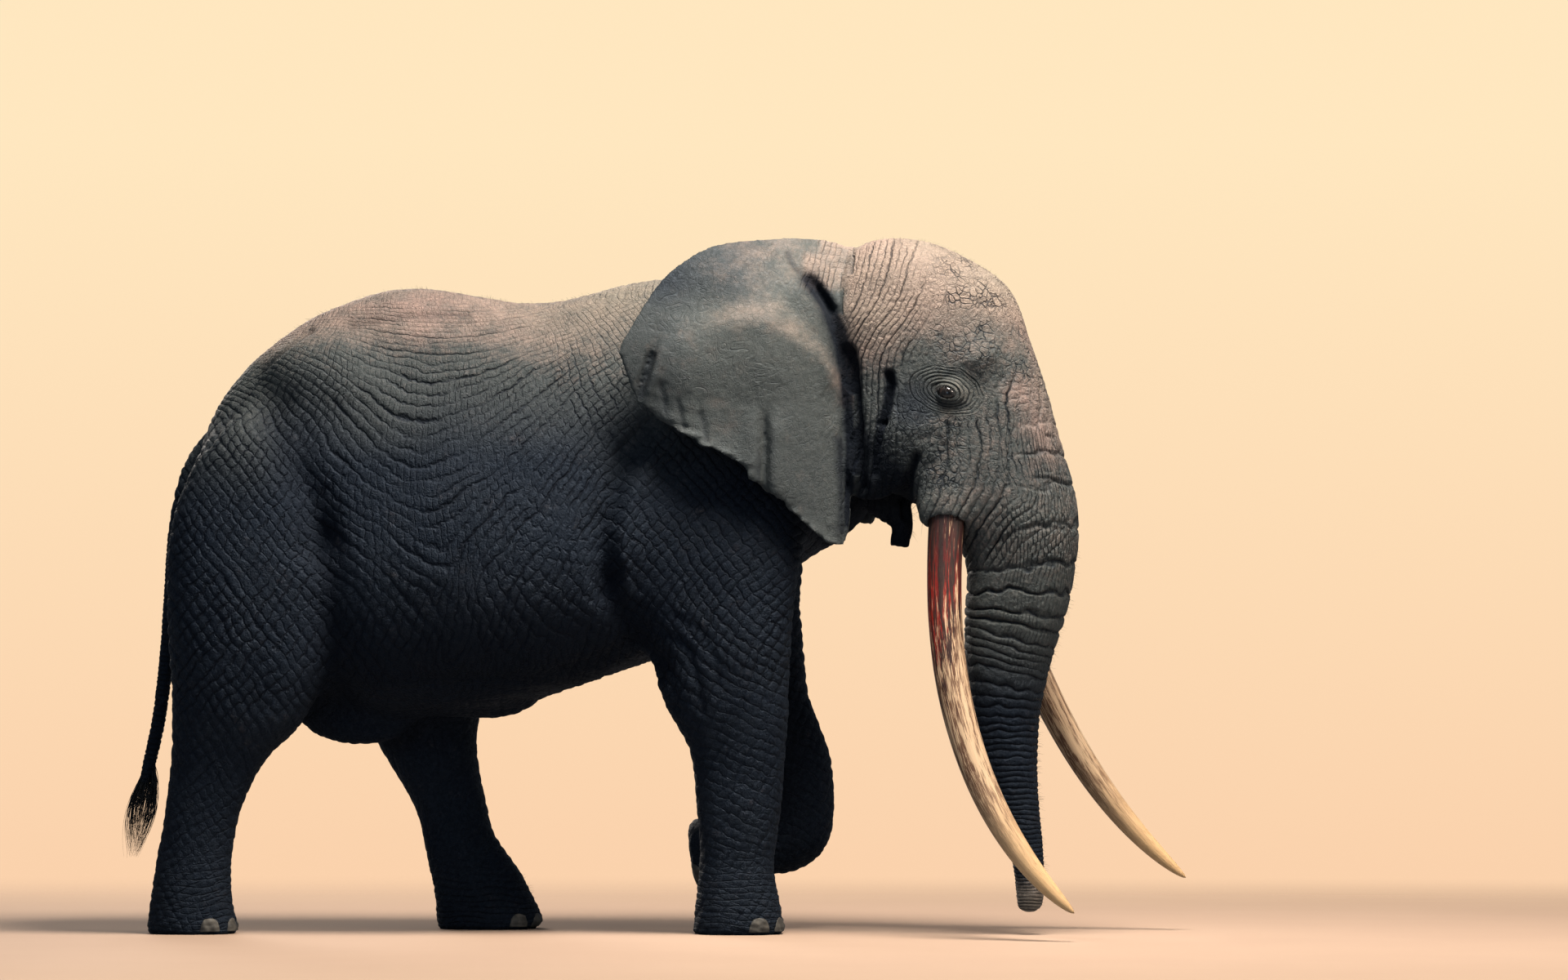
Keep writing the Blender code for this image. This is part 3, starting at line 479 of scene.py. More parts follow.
# Folds and hollows seen from the side: half width, height (below 0 for a furrow), painted shade (how much the
# skin is darkened along the fold where shade falls; at the gland it is also the gland's own streak), line. A
# fold of height 0 is painted shade alone.
FOLDS = {
    "hip hollow": (0.110, -0.042, 0.60, ((-1.19, 2.57), (-1.067, 2.318), (-0.988, 2.133), (-0.943, 1.93))),
    "hip pit": (0.075, -0.014, 0.40, ((-1.04, 2.26), (-0.98, 2.12), (-0.94, 1.96))),
    "thigh edge": (0.085, -0.026, 0.80, ((-0.943, 1.96), (-0.895, 1.70), (-0.880, 1.45), (-0.848, 1.139))),
    "behind the arm": (0.060, -0.040, 0.10, ((0.636, 2.491), (0.504, 2.252), (0.437, 1.974), (0.457, 1.676))),
    "arm cleft": (0.045, -0.016, 0.40, ((0.46, 2.02), (0.475, 1.88), (0.50, 1.74))),
    "arm pit": (0.090, -0.030, 0.85, ((0.50, 1.74), (0.53, 1.60), (0.60, 1.46), (0.70, 1.30))),
    "arm fold": (0.040, 0.022, 0, ((0.695, 2.332), (0.584, 2.133), (0.536, 1.894), (0.568, 1.656))),
    "rump crest": (0.022, -0.020, 0.4, ((-1.047, 2.996), (-1.293, 2.785), (-1.436, 2.578), (-1.524, 2.411))),
    "spine": (0.020, -0.010, 0.3, ((-0.836, 3.016), (-0.577, 3.060), (-0.259, 3.072))),
    "belly hem": (0.040, 0.010, 0, ((-0.418, 1.131), (0.099, 1.147), (0.377, 1.226), (0.656, 1.346))),
    "above the hem": (0.035, -0.014, 0.3, ((-0.418, 1.238), (0.099, 1.250), (0.377, 1.330), (0.616, 1.437))),
    "elbow": (
        0.024, -0.012, 0.20,
        ((0.666, 1.505), (0.78, 1.46), (0.858, 1.405), (0.906, 1.254), (0.93, 1.10)),
    ),
    "elbow rear": (0.022, -0.010, 0.20, ((0.695, 1.369), (0.760, 1.300), (0.790, 1.200), (0.80, 1.10))),
    "elbow front": (0.022, -0.008, 0.12, ((0.80, 1.56), (0.92, 1.49), (0.99, 1.38), (1.01, 1.22))),
    "under the ear": (0.110, 0.0, 0.55, ((0.88, 2.39), (1.02, 2.28), (1.25, 2.12), (1.50, 1.92))),
    "ear root": (0.044, 0.0, 1.4, ((1.46, 3.18), (1.54, 3.07), (1.60, 2.95), (1.635, 2.80), (1.65, 2.66))),
    "ear gap": (0.030, 0.0, 1.2, ((1.65, 2.70), (1.655, 2.52), (1.66, 2.30), (1.66, 2.10))),
    "ear front": (
        0.030, -0.055, 1.15,
        ((1.640, 2.85), (1.662, 2.70), (1.676, 2.56), (1.684, 2.411), (1.700, 2.173)),
    ),
    "neck": (0.070, 0.0, 0.95, ((1.70, 2.36), (1.73, 2.20), (1.76, 2.05))),
    "behind the crown": (0.012, -0.030, 0.5, ((1.655, 3.37), (1.652, 3.31), (1.648, 3.26))),
    "gland": (0.020, -0.045, 2.2, ((1.842, 2.738), (1.851, 2.686), (1.832, 2.594), (1.808, 2.503))),
    "gland tail": (0.018, -0.024, 1.6, ((1.808, 2.503), (1.790, 2.42), (1.776, 2.34), (1.77, 2.25))),
    "cheek cleft": (0.022, -0.040, 1.0, ((1.975, 2.335), (1.945, 2.260), (1.924, 2.157), (1.930, 2.060))),
    "jaw": (0.060, -0.020, 0.9, ((1.729, 2.332), (1.789, 2.173), (1.849, 2.014))),
    "brow": (0.040, 0.004, 0, ((2.266, 2.809), (2.346, 2.690), (2.374, 2.570))),
    "cheek swirl": (
        0.020, -0.006, 0.2,
        ((2.00, 2.42), (2.07, 2.44), (2.11, 2.39), (2.09, 2.32), (2.02, 2.29)),
    ),
    "lip corner": (
        0.012, -0.007, 0.3,
        ((2.345, 1.905), (2.40, 1.93), (2.47, 1.975), (2.56, 2.00), (2.70, 1.985)),
    ),
    "upper fold": (0.010, -0.008, 0.3, ((2.56, 2.235), (2.62, 2.235), (2.70, 2.215), (2.76, 2.19))),
    "first fold": (0.010, -0.008, 0.3, ((2.62, 2.445), (2.68, 2.44), (2.73, 2.425))),
}
# The same on the ear.
EAR_FOLDS = {
    "root": (0.046, 0.0, 1.25, ((1.46, 3.21), (1.53, 3.10), (1.58, 3.00), (1.615, 2.88), (1.64, 2.74))),
    "gap": (0.032, 0.0, 1.3, ((1.64, 2.76), (1.652, 2.60), (1.655, 2.42), (1.652, 2.20), (1.645, 2.02))),
    "upper crease": (0.012, -0.006, 0.5, ((1.345, 3.35), (1.37, 3.29), (1.42, 3.23), (1.46, 3.20))),
    "lower fold": (0.024, 0.0, 0.5, ((1.245, 2.42), (1.228, 2.32), (1.222, 2.20))),
    "rear corner": (0.022, -0.010, 0.6, ((0.690, 2.82), (0.665, 2.73), (0.635, 2.62))),
    "first pleat": (0.014, -0.008, 0.45, ((0.738, 2.68), (0.755, 2.61), (0.765, 2.54))),
    "second pleat": (0.013, -0.007, 0.40, ((0.820, 2.60), (0.835, 2.54), (0.850, 2.48))),
    "third pleat": (0.013, -0.007, 0.40, ((0.930, 2.54), (0.950, 2.47), (0.960, 2.41))),
    "root joins": (
        0.034, 0.0, 1.3,
        ((1.500, 3.150), (1.560, 3.030), (1.600, 2.900), (1.630, 2.740), (1.640, 2.60)),
    ),
    "front edge": (0.026, 0.0, 0.85, ((1.600, 2.42), (1.612, 2.28), (1.622, 2.10), (1.615, 1.98))),
}


def cosines(count):
    k = np.arange(count)
    basis = np.cos(np.pi * (k[None, :] + 0.5) * k[:, None] / count) * math.sqrt(2 / count)
    basis[0] /= math.sqrt(2)
    return basis


def crease_phase(area, samples, turned, branch, spacing=None):
    """A phase on a side grid whose whole-number lines run along the sampled directions."""
    span_x, span_z, step = area
    xs, zs = np.arange(*span_x, step), np.arange(*span_z, step)
    gx, gz = np.meshgrid(xs, zs, indexing="ij")
    doubled, total, gaps = np.zeros((2, *gx.shape)), 0, 0
    for x, z, degrees, *gap in samples:
        angle = 2 * math.radians(degrees - branch)
        near = 1 / ((gx - x) ** 2 + (gz - z) ** 2 + 14 * step**2) ** 1.5
        doubled += near * np.array((math.cos(angle), math.sin(angle)))[:, None, None]
        total = total + near
        gaps = gaps + near * (spacing or gap[0])
    gaps = gaps / total
    angle = np.arctan2(doubled[1], doubled[0]) / 2 + math.radians(branch) + turned
    nx, nz = -np.sin(angle) / gaps, np.cos(angle) / gaps
    push = np.zeros(gx.shape)
    across = (nx[1:] + nx[:-1]) / 2 * step
    push[:-1] += across
    push[1:] -= across
    upward = (nz[:, 1:] + nz[:, :-1]) / 2 * step
    push[:, :-1] += upward
    push[:, 1:] -= upward
    ca, cb = cosines(len(xs)), cosines(len(zs))
    wave = (2 - 2 * np.cos(np.pi * np.arange(len(xs)) / len(xs)))[:, None]
    wave = -wave - (2 - 2 * np.cos(np.pi * np.arange(len(zs)) / len(zs)))[None, :]
    wave[0, 0] = 1
    spectrum = ca @ push @ cb.T / wave
    spectrum[0, 0] = 0
    return ca.T @ spectrum @ cb


def on_grid(area, grid, x, z):
    span_x, span_z, step = area
    u = np.clip((x - span_x[0]) / step, 0, grid.shape[0] - 1.001)
    v = np.clip((z - span_z[0]) / step, 0, grid.shape[1] - 1.001)
    i, j = u.astype(int), v.astype(int)
    f, g = u - i, v - j
    return (
        grid[i, j] * (1 - f) * (1 - g) + grid[i + 1, j] * f * (1 - g)
        + grid[i, j + 1] * (1 - f) * g + grid[i + 1, j + 1] * f * g
    )


# Heights on the front of the trunk of its deep folds, then of every ring down to the tip.
TRUNK_FOLDS = (
    2.52, 2.36, 2.213, 2.011, 1.82, 1.672, 1.555, 1.48, 1.40,
    1.362, 1.325, 1.285, 1.25, 1.195, 1.147, 1.107, 1.067,
)
TRUNK_FRONT = (
    (0.1, 2.64), (0.58, 2.63), (0.98, 2.617), (1.18, 2.64), (1.38, 2.69),
    (1.58, 2.76), (1.83, 2.81), (2.03, 2.82), (2.4, 2.74),
)


def trunk_rings(head):
    """Ring phase on the trunk, and the local distance between rings."""
    heights = list(TRUNK_FOLDS)
    while heights[-1] > 0.06:
        heights.append(heights[-1] - (0.014 + 0.022 * max(heights[-1] - 0.1, 0)))
    heights = np.array(heights)
    front = np.interp(head[:, 2], *zip(*TRUNK_FRONT))
    tilt = np.interp(head[:, 2], (1.05, 1.35, 1.5, 1.68, 1.8), (0.0, -0.26, -0.26, 0.0, 0.13))
    level = head[:, 2] - tilt * (head[:, 0] - front)
    level = level + noise(head * (1, 1, 2), 0.09, 2) * np.interp(level, (0.2, 2.2), (0.004, 0.022))
    number = np.arange(len(heights))
    phase = np.interp(-level, -heights, number)
    gap = np.interp(-level, -(heights[1:] + heights[:-1]) / 2, heights[:-1] - heights[1:])
    return phase, gap


class Places:
    """Where each skin vertex is: drawing and head frames, and how much it belongs to each part."""

    def __init__(self, points):
        self.drawn = points - SHIFT
        self.head = to_head(self.drawn)
        x, y, z = self.drawn.T
        hx, hy, hz = self.head.T
        self.on_head = ramp(hx, 1.62, 1.80) * ramp(hz, 1.75, 1.95)
        self.on_trunk = ramp(hz, 2.30, 2.05) * ramp(hx, 2.02, 2.10) * (np.abs(hy) < 0.45)
        self.ear, self.ear_outer = self.find_ears()
        self.on_leg = ramp(z, 1.25, 1.00) * ramp(x, 1.75, 1.70)
        self.on_tail = ramp(x, -1.66, -1.70) * ramp(z, 2.38, 2.28) * (np.abs(y) < 0.09)
        self.on_tail *= ramp(x + 0.10 * (z - 0.9), -1.62, -1.70)
        c, s = math.cos(HEAD_TURN), math.sin(HEAD_TURN)
        seen = HEAD_PIVOT[0] + c * (hx - HEAD_PIVOT[0]) - s * np.abs(hy)
        ahead = np.maximum(self.on_head, self.on_trunk)
        self.side_x = seen * ahead + x * (1 - ahead)

    def find_ears(self):
        """Weight of belonging to an ear, and which face of it: 1 outer, -1 the one to the neck."""
        belongs = np.zeros(len(self.drawn))
        face = np.zeros(len(self.drawn))
        self.ear_place = self.drawn.copy()
        for side in (RIGHT, LEFT):
            p = self.drawn if side == RIGHT else back_to_right_ear(self.drawn)
            off = -p[:, 1] - ear_depth(p[:, 0], p[:, 2]) - ear_folding(p[:, 0], p[:, 2])
            lowest = np.interp(p[:, 0], *zip(*EAR_JAGS)) - 0.03
            within = (p[:, 0] < 1.70) & (p[:, 2] > lowest) & (np.abs(off) < 0.062) & (p[:, 1] < -0.2)
            front = np.interp(p[:, 2], *zip(*((z, x) for x, z in EAR_FRONT[::-1])))
            free = ramp(p[:, 0], front + 0.035, front + 0.005)
            belongs[within] = np.maximum(belongs, free)[within]
            face[within] = np.sign(off)[within]
            self.ear_place[within] = p[within]
        return belongs, face


def eye_place(head):
    """Each point's side, its place along and across the nearer eye's slit, and the slit's oval."""
    side = np.where(head[:, 1] < 0, RIGHT, LEFT)
    u, v = head[:, 0] - EYE_PLACE[0], head[:, 2] - EYE_PLACE[2]
    c, s = math.cos(EYE_SLANT), math.sin(EYE_SLANT)
    a, b = c * u + s * v, c * v - s * u
    wide, tall = np.where(a < 0, SLIT_REAR, SLIT_FRONT), np.where(b > 0, SLIT_UP, SLIT_DOWN)
    oval = np.hypot(a / wide, b / tall)
    oval = np.where(head[:, 1] * side > 0.20, oval, 99.0)
    return side, a, b, oval


def line_distance(x, z, line):
    """Distance from each point to a broken line in the side view."""
    best = np.full(len(x), 9.0)
    for (ax, az), (bx, bz) in zip(line, line[1:]):
        dx, dz = bx - ax, bz - az
        t = np.clip(((x - ax) * dx + (z - az) * dz) / (dx * dx + dz * dz), 0, 1)
        best = np.minimum(best, np.hypot(x - ax - t * dx, z - az - t * dz))
    return best


# ---------------------------------------------------------------- the skin
def refined(mesh, wanted):
    """The mesh with the faces near wanted vertices split in four."""
    bm = bmesh.new()
    bm.from_mesh(mesh)
    bm.verts.ensure_lookup_table()
    chosen = [edge for edge in bm.edges if wanted[edge.verts[0].index] and wanted[edge.verts[1].index]]
    bmesh.ops.subdivide_edges(bm, edges=chosen, cuts=1, use_grid_fill=True, smooth=0.0)
    made = bpy.data.meshes.new(mesh.name)
    bm.to_mesh(made)
    bm.free()
    return made


def relaxed(mesh, rounds):
    """Takes the stair steps out without shrinking the shape."""
    points = vertices_of(mesh)
    mean = neighbour_mean(edges_of(mesh), len(points))
    for _ in range(rounds):
        for strength in (0.6, -0.62):
            points = points + strength * (mean(points) - points)
    set_vertices(mesh, points)


def pillows(phase, sharp):
    """Rounded ridges from 0 in the crease at each whole number to 1 between creases."""
    return np.abs(np.sin(np.pi * phase)) ** sharp


def ear_texture(drawn):
    """Short wandering creases: whole numbers of a much folded noise."""
    bent = drawn + 0.03 * np.stack([noise(drawn, 0.12, k) for k in (61, 62, 63)], 1)
    return 2.2 * noise(bent, 0.10, 64) + 1.1 * noise(bent, 0.045, 65) + 0.5


def skin_fields(places, normals):
    """Crease phases, their weights, tones, the painted shade with the pink and cracked patches, and the
    height of the relief at each vertex.
    """
    drawn, head = places.drawn, places.head
    x, y, z = drawn.T
    hx, hy, hz = head.T
    seen = places.side_x
    on_head, on_trunk, ear, on_leg = places.on_head, places.on_trunk, places.ear, places.on_leg
    c, s = math.cos(HEAD_TURN), math.sin(HEAD_TURN)
    turned = s * normals[:, 0] + c * normals[:, 1]
    facing = np.where(on_head > 0.5, turned * np.sign(hy), normals[:, 1] * np.sign(y))
    outer = ramp(facing, 0.05, 0.40)
    uneven = z + 0.14 * noise(drawn, 0.4, 31) + 0.05 * noise(drawn, 0.12, 32)
    back = ramp(z, 2.50, 3.15) * (1 - on_head)
    level = z + np.maximum(0.62 - np.abs(y), 0) * back

    # The two crossing sets of creases; the second breaks at each crease of the first.
    warp = fractal(drawn, 0.30, 2, 1) * 0.6 + noise(drawn, 0.10, 4) * 0.26 + noise(drawn, 0.045, 7) * 0.13
    cross_warp = fractal(drawn, 0.30, 2, 8) * 0.5 + noise(drawn, 0.09, 6) * 0.26
    cross_warp = cross_warp + noise(drawn, 0.04, 9) * 0.12
    first = on_grid(BODY_GRID, crease_phase(BODY_GRID, SAMPLES, 0.0, 0, LONG_CREASE_GAP), seen, level) + warp
    crosswise = crease_phase(BODY_GRID, SAMPLES, math.pi / 2, 0, CROSS_CREASE_GAP)
    second = on_grid(BODY_GRID, crosswise, seen, level) + cross_warp
    face_first = on_grid(HEAD_GRID, crease_phase(HEAD_GRID, HEAD_SAMPLES, 0.0, 60), seen, hz) + warp * 0.8
    face_second = on_grid(HEAD_GRID, crease_phase(HEAD_GRID, HEAD_SAMPLES, math.pi / 2, 60), seen, hz) * 0.8
    pleats = np.arctan2(hy, hx - np.interp(hz, *zip(*TRUNK_FRONT)) + 0.22) * 11 + noise(drawn, 0.12, 3)
    face_second = np.where((hx > 2.50) & (hz < 2.55), pleats, face_second + cross_warp * 0.8)
    face_second = np.where(on_trunk > 0.01, pleats, face_second)
    faced = (np.maximum(on_head, on_trunk) > 0.5) | ((ear > 0.3) & (seen > 1.33) & (z > 3.0))
    first = np.where(faced, face_first, first)
    second = np.where(faced, face_second, second)
    rings, gap = trunk_rings(head)
    strokes = x / 0.030 + warp * 2.0
    leg_rings = z / np.interp(z, (0.0, 0.5, 1.0), (0.026, 0.034, 0.05)) + fractal(drawn, 0.16, 2, 9) * 0.8
    tail_rings = z / 0.026 + noise(drawn, 0.08, 3) * 0.5
    in_rings = (on_trunk > 0.01) | (on_head > 0.5) & (hx > 2.25)
    third = np.where(in_rings, rings + 0.16 * noise(drawn, 0.05, 5), strokes)
    third = np.where((on_leg > 0.01) & (on_trunk <= 0.01) & (on_head < 0.5), leg_rings, third)
    third = np.where(places.on_tail > 0.01, tail_rings, third)
    third = np.where(ear > 0.3, ear_texture(drawn), third)

    # How strongly each set of creases shows.
    body = (1 - on_head) * (1 - on_trunk) * (1 - ear) * (1 - places.on_tail)
    high = ramp(uneven + np.maximum(0.55 - np.abs(y), 0) * back, 2.62, 3.05)
    shoulder = ramp(x + 0.3 * (z - 1.8), 0.40, 0.62)
    rump = ramp(x - 0.1 * (z - 2), -0.80, -1.10)
    low = ramp(uneven, 1.85, 1.45)
    netted = (np.maximum(np.maximum(shoulder, rump), low) * (1 - on_head) + 0.3 * noise(drawn, 0.1, 33)) > 0.5
    second_bricks = second + np.where(netted, 0.0, BRICK_SHIFT) * np.floor(first)
    patch = np.clip(0.78 + 0.80 * fractal(drawn, 0.18, 2, 12), 0.28, 1)
    beads = np.clip(0.85 + 0.70 * fractal(drawn, 0.16, 2, 14), 0.25, 1)
    fade = np.abs(2 * np.maximum(on_head, on_trunk) - 1)
    first_weight = body * (1.0 - 0.45 * high) * (1 - 0.45 * on_leg) * patch
    second_weight = body * (0.55 + 0.45 * shoulder + 0.5 * rump + 0.35 * low) * (1 - 0.4 * high) * beads
    second_weight = second_weight * (1 - 0.45 * on_leg)
    hem = ramp(uneven, 1.36, 1.26) * ramp(z, 0.95, 1.12) * (1 - shoulder) * ramp(x, -0.95, -0.6)
    third_weight = body * hem * 0.7 + on_leg * ramp(z, 1.0, 0.6) * (0.25 + 0.6 * ramp(z, 0.45, 0.15))
    front = np.interp(hz, *zip(*TRUNK_FRONT))
    fore = np.clip(0.6 * ramp(hx, front - 0.24, front - 0.06) + ramp(hz, 1.92, 1.70), 0, 1)
    third_weight += np.maximum(on_trunk, on_head * ramp(hx, 2.3, 2.5)) * fore * ramp(hz, 2.60, 2.45) * (
        0.25 + 0.75 * ramp(fractal(drawn, 0.10, 2, 19), -0.95, -0.25)
    )
    third_weight += places.on_tail
    third_weight += 0.22 * (ear > 0.3) * np.clip(0.3 + 1.1 * noise(drawn, 0.16, 20), 0, 1)
    crown = ramp(seen, 2.10, 1.92) * ramp(hz, 2.55, 2.75)
    temple = ramp(seen, 1.95, 1.82) * ramp(hz, 2.85, 2.75)
    root = ramp(hx, 2.18, 2.30) * ramp(hz, 2.80, 2.62) * ramp(hz, 1.75, 1.9)
    lips = ramp(hz, 2.30, 2.18) * ramp(hx, 1.98, 2.06) * ramp(hz, 1.75, 1.9)
    face = np.clip(0.15 + 0.62 * crown + 0.8 * temple + root + 0.8 * lips, 0, 1)
    face = face * np.maximum(on_head, on_trunk)
    first_weight += face * (0.5 + 0.6 * patch) * (1 - ramp(hx, 2.52, 2.60) * 0.6)
    second_weight += 0.35 * face * beads
    nose = ramp(hx, 2.44, 2.54) * ramp(hz, 2.55, 2.35) * np.maximum(on_head, on_trunk)
    second_weight += nose * 0.55 * ramp(hz, 0.8, 1.7) * beads
    lappet = (ear > 0.3) * ramp(seen + 0.10 * noise(drawn, 0.12, 93), 1.34, 1.50) * ramp(z, 3.12, 3.20) * 0.8
    first_weight = first_weight * fade + lappet * patch
    second_weight = second_weight * fade + lappet * 0.3
    crackle = 0.50 + 0.30 * high * body + 0.35 * on_head + 0.3 * on_leg
    crackle = crackle * (1 - 0.2 * ear) * (1 - on_trunk * 0.4)

    # Rings of folds round the eyes take over.
    _, a, b, oval = eye_place(head)
    by_eye = ramp(oval, 4.2, 3.0)
    ringed = (oval - 1.0) / LID_FOLD_GAP + 0.7 * noise(drawn, 0.06, 21) * ramp(oval, 1.6, 2.6)
    first = np.where(oval < 4.4, ringed, first)
    sparse = np.clip(0.65 + 0.8 * noise(drawn, 0.07, 27), 0.1, 1)
    first_weight = np.where(
        oval < 4.4, by_eye * (0.5 + 0.5 * sparse), first_weight * ramp(np.minimum(oval, 9), 4.4, 5.2)
    )
    second_weight = second_weight * ramp(np.minimum(oval, 9), 3.0, 4.6)

    # Cracked hide of the forehead and cheek.
    nudged = drawn + 0.010 * np.stack([noise(drawn, 0.035, k) for k in (71, 72, 73)], 1)
    one, two = cells(nudged, 0.034, 1)
    three, four = cells(nudged, 0.040, 2)
    upper = hz > 2.60
    edge = np.where(upper, two - one, four - three)
    forehead = on_head * ramp(hz + 0.3 * (hx - 2.2), 2.66, 2.95) * ramp(seen, 1.95, 2.12)
    cheek = on_head * ramp(hz, 2.66, 2.56) * ramp(hx, 2.40, 2.28)
    cheek = cheek * ramp(hz, 2.10, 2.22) * ramp(hx, 1.86, 1.92)
    cracked = np.clip(forehead * 0.9 + cheek, 0, 1) * (1 - by_eye)
    broken = np.clip(0.62 + 0.7 * noise(drawn, 0.08, 23), 0.3, 1)
    split = cracked * np.where(upper, broken, 0.4 + 0.6 * broken)

    # Relief.
    deep = np.where(faced, 0.0046 + 0.0028 * root * (1 - by_eye), 0.0070)
    relief = deep * first_weight * (pillows(first, 0.6) - 0.75)
    relief += deep * 0.8 * second_weight * (pillows(second_bricks, 0.6) - 0.75)
    bold = ramp(np.abs(first / 3 - np.round(first / 3)) * 3, 0.30, 0.0)
    relief -= deep * 0.8 * first_weight * bold * (1 - 0.5 * netted)
    lumps, _ = cells(drawn, 0.034, 1)
    relief += 0.0022 * np.clip(crackle, 0, 1) * (0.55 - lumps) * (1 - ear) * (1 - cracked)
    relief += split * (0.001 - 0.003 * ramp(edge, 0.25, 0.0))
    ringed_part = (on_trunk > 0.01) | (on_head > 0.5) & (hx > 2.25)
    depth = np.where(ringed_part, np.clip(gap * 0.20, 0.003, 0.011), 0.005)
    depth = np.where(ear > 0.3, 0.0022, depth)
    wide = ringed_part * ramp(gap, 0.045, 0.085)
    off_ring = np.abs(third - np.round(third)) * gap
    relief += depth * third_weight * (pillows(third, 0.55) - 0.8) * (1 - wide)
    relief -= 0.012 * wide * third_weight * np.exp(-((off_ring / 0.013) ** 2))
    relief += 0.006 * fractal(drawn, 0.25, 2, 15) * body
    relief += (
        0.006 * places.on_tail + 0.0016 * noise(drawn, 0.016, 17) + 0.0016 * ear * noise(drawn, 0.05, 18)
    )
    # Painted shade: near-black darkening along the furrows and gaps, behind the jaw, under the belly and
    # below the eyes, where shade falls; at the gland also its own streak.
    painted_shade_and_streak = np.zeros(len(x))
    at_x = np.where(ear > 0.3, places.ear_place[:, 0], seen)
    stray_x, stray_z = fractal(drawn, 0.10, 2, 91), fractal(drawn, 0.10, 2, 92)
    for folds, here in ((FOLDS, 1 - ear), (EAR_FOLDS, ear * (places.ear_outer > 0))):
        for width, rise, painted_shade_and_streak_strength, line in folds.values():
            stray = min(0.016, 0.30 * width)
            away = line_distance(at_x + stray * stray_x, z + stray * stray_z, line)
            relief += rise * np.exp(-((away / width) ** 2)) * outer * here
            painted_shade_and_streak = np.maximum(painted_shade_and_streak, painted_shade_and_streak_strength * np.exp(-((away / (width * 1.15)) ** 2)) * outer * here)

    # Tones: dust from above; painted shade, turning the skin blue-black lower down the body where shade
    # falls; painted shade in the hollows and furrows.
    mottle = fractal(drawn, 0.5, 3, 41)
    dust = 0.66 * ramp(level + 0.22 * mottle, 2.66, 3.42) * body
    high_face = ramp(hz - 0.12 * (hx - 2.0) + 0.12 * noise(drawn, 0.2, 42), 2.60, 3.05)
    dust = np.maximum(dust, 0.95 * on_head * high_face)
    front_face = ramp(hx + 0.14 * fractal(drawn, 0.15, 2, 43), 2.34, 2.68)
    dust = np.maximum(dust, 0.66 * on_head * front_face * ramp(hz, 2.1, 2.5))
    # Painted highlight and dust: a pale band along the ear's shelf, where the ridge faces up into the light.
    strip = z - np.interp(places.ear_place[:, 0], *EAR_SHELF)
    painted_highlight_and_dust = bell(strip, 0.05, 0.085) * ramp(seen, 0.75, 1.2)
    high_ear = ramp(z, 2.9, 3.35) * ramp(seen, 0.80, 1.25)
    dust = np.where(ear > 0.5, 0.07 + 0.22 * high_ear + 0.35 * painted_highlight_and_dust + 0.12 * mottle, dust)
    dust = np.where(ear > 0.5, np.maximum(dust, 0.75 * lappet), dust)
    dust = np.maximum(dust, 0.70 * ramp(hz, 0.34, 0.18) * on_trunk)
    trunk_root = ramp(hz, 1.45, 1.95) * ramp(seen, 1.95, 2.12)
    dust = np.maximum(dust, 0.24 * np.maximum(on_head, on_trunk) * trunk_root)
    # Painted shade: the skin goes blue-black lower on the body, on the ear's rear and upper rear, and in a
    # round patch by the gland, standing in for the shade there; the head and trunk are mostly spared.
    lifted = z + 0.22 * ramp(x, -1.0, -1.35) + 0.15 * noise(drawn, 0.4, 44)
    painted_shade_tone = ramp(lifted, 3.02, 2.20) * (1 - 0.72 * ear)
    painted_shade_tone = painted_shade_tone * (1 - 0.84 * on_head * ramp(hz, 1.85, 2.1)) * (1 - 0.94 * on_trunk * ramp(hz, 1.05, 1.62))
    ear_shade = 0.50 * ramp(z, 3.0, 3.2) * ramp(seen, 1.35, 1.05) + 0.35 * ramp(seen, 0.98, 0.72)
    painted_shade_tone = np.maximum(painted_shade_tone, ear_shade * (ear > 0.5))
    by_gland = np.exp(-((((seen - 1.955) / 0.13) ** 2 + ((hz - 2.585) / 0.14) ** 2) ** 1.5)) * on_head
    painted_shade_tone = np.maximum(painted_shade_tone, 0.72 * by_gland)
    # Painted shade behind and under the jaw, where the neck lies in shadow.
    painted_jaw_shade = ramp(hx, 2.13, 2.04) * ramp(hz + 0.96 * (seen - 1.70), 2.60, 2.42)
    painted_jaw_shade = painted_jaw_shade * ramp(hx, 1.40, 1.60) * (1 - ear)
    lids = 0.30 * bell(oval, 1.55, 0.50) * ramp(b + 0.35 * a, -0.005, 0.025)
    lids = lids + 0.12 * bell(oval, 1.30, 0.22) * ramp(b, -0.008, -0.022)
    dust = np.maximum(dust, lids)
    eye_shade = 0.40 * ramp(oval, 3.4, 1.8) * ramp(b, 0.0, -0.03) * ramp(oval, 1.4, 1.8)
    painted_shade_and_streak = np.maximum(painted_shade_and_streak, np.maximum(painted_jaw_shade * 0.92, np.maximum(eye_shade, 0.30 * by_gland)))
    # Painted shade under the belly.
    belly = ramp(uneven, 1.78, 1.40) * ramp(x, 0.62, 0.40) * ramp(x, -1.15, -0.85) * (1 - on_leg)
    painted_shade_and_streak = np.maximum(painted_shade_and_streak, 0.70 * belly)
    pink = np.clip(0.5 + 1.2 * fractal(drawn, 0.6, 2, 51), 0, 1) * ramp(np.minimum(oval, 9), 2.6, 4.2)
    phases = np.stack((first, second, third), 1)
    weights = np.clip(np.stack((first_weight, second_weight, third_weight), 1), 0, 1)
    tones = np.clip(np.stack((dust, painted_shade_tone, crackle), 1), 0, 1)
    painted_shade_and_marks = np.clip(np.stack((painted_shade_and_streak, pink, split), 1), 0, 1)
    nets = np.stack((1.0 - netted, ear, on_trunk), 1)
    return phases, weights, tones, painted_shade_and_marks, nets, relief


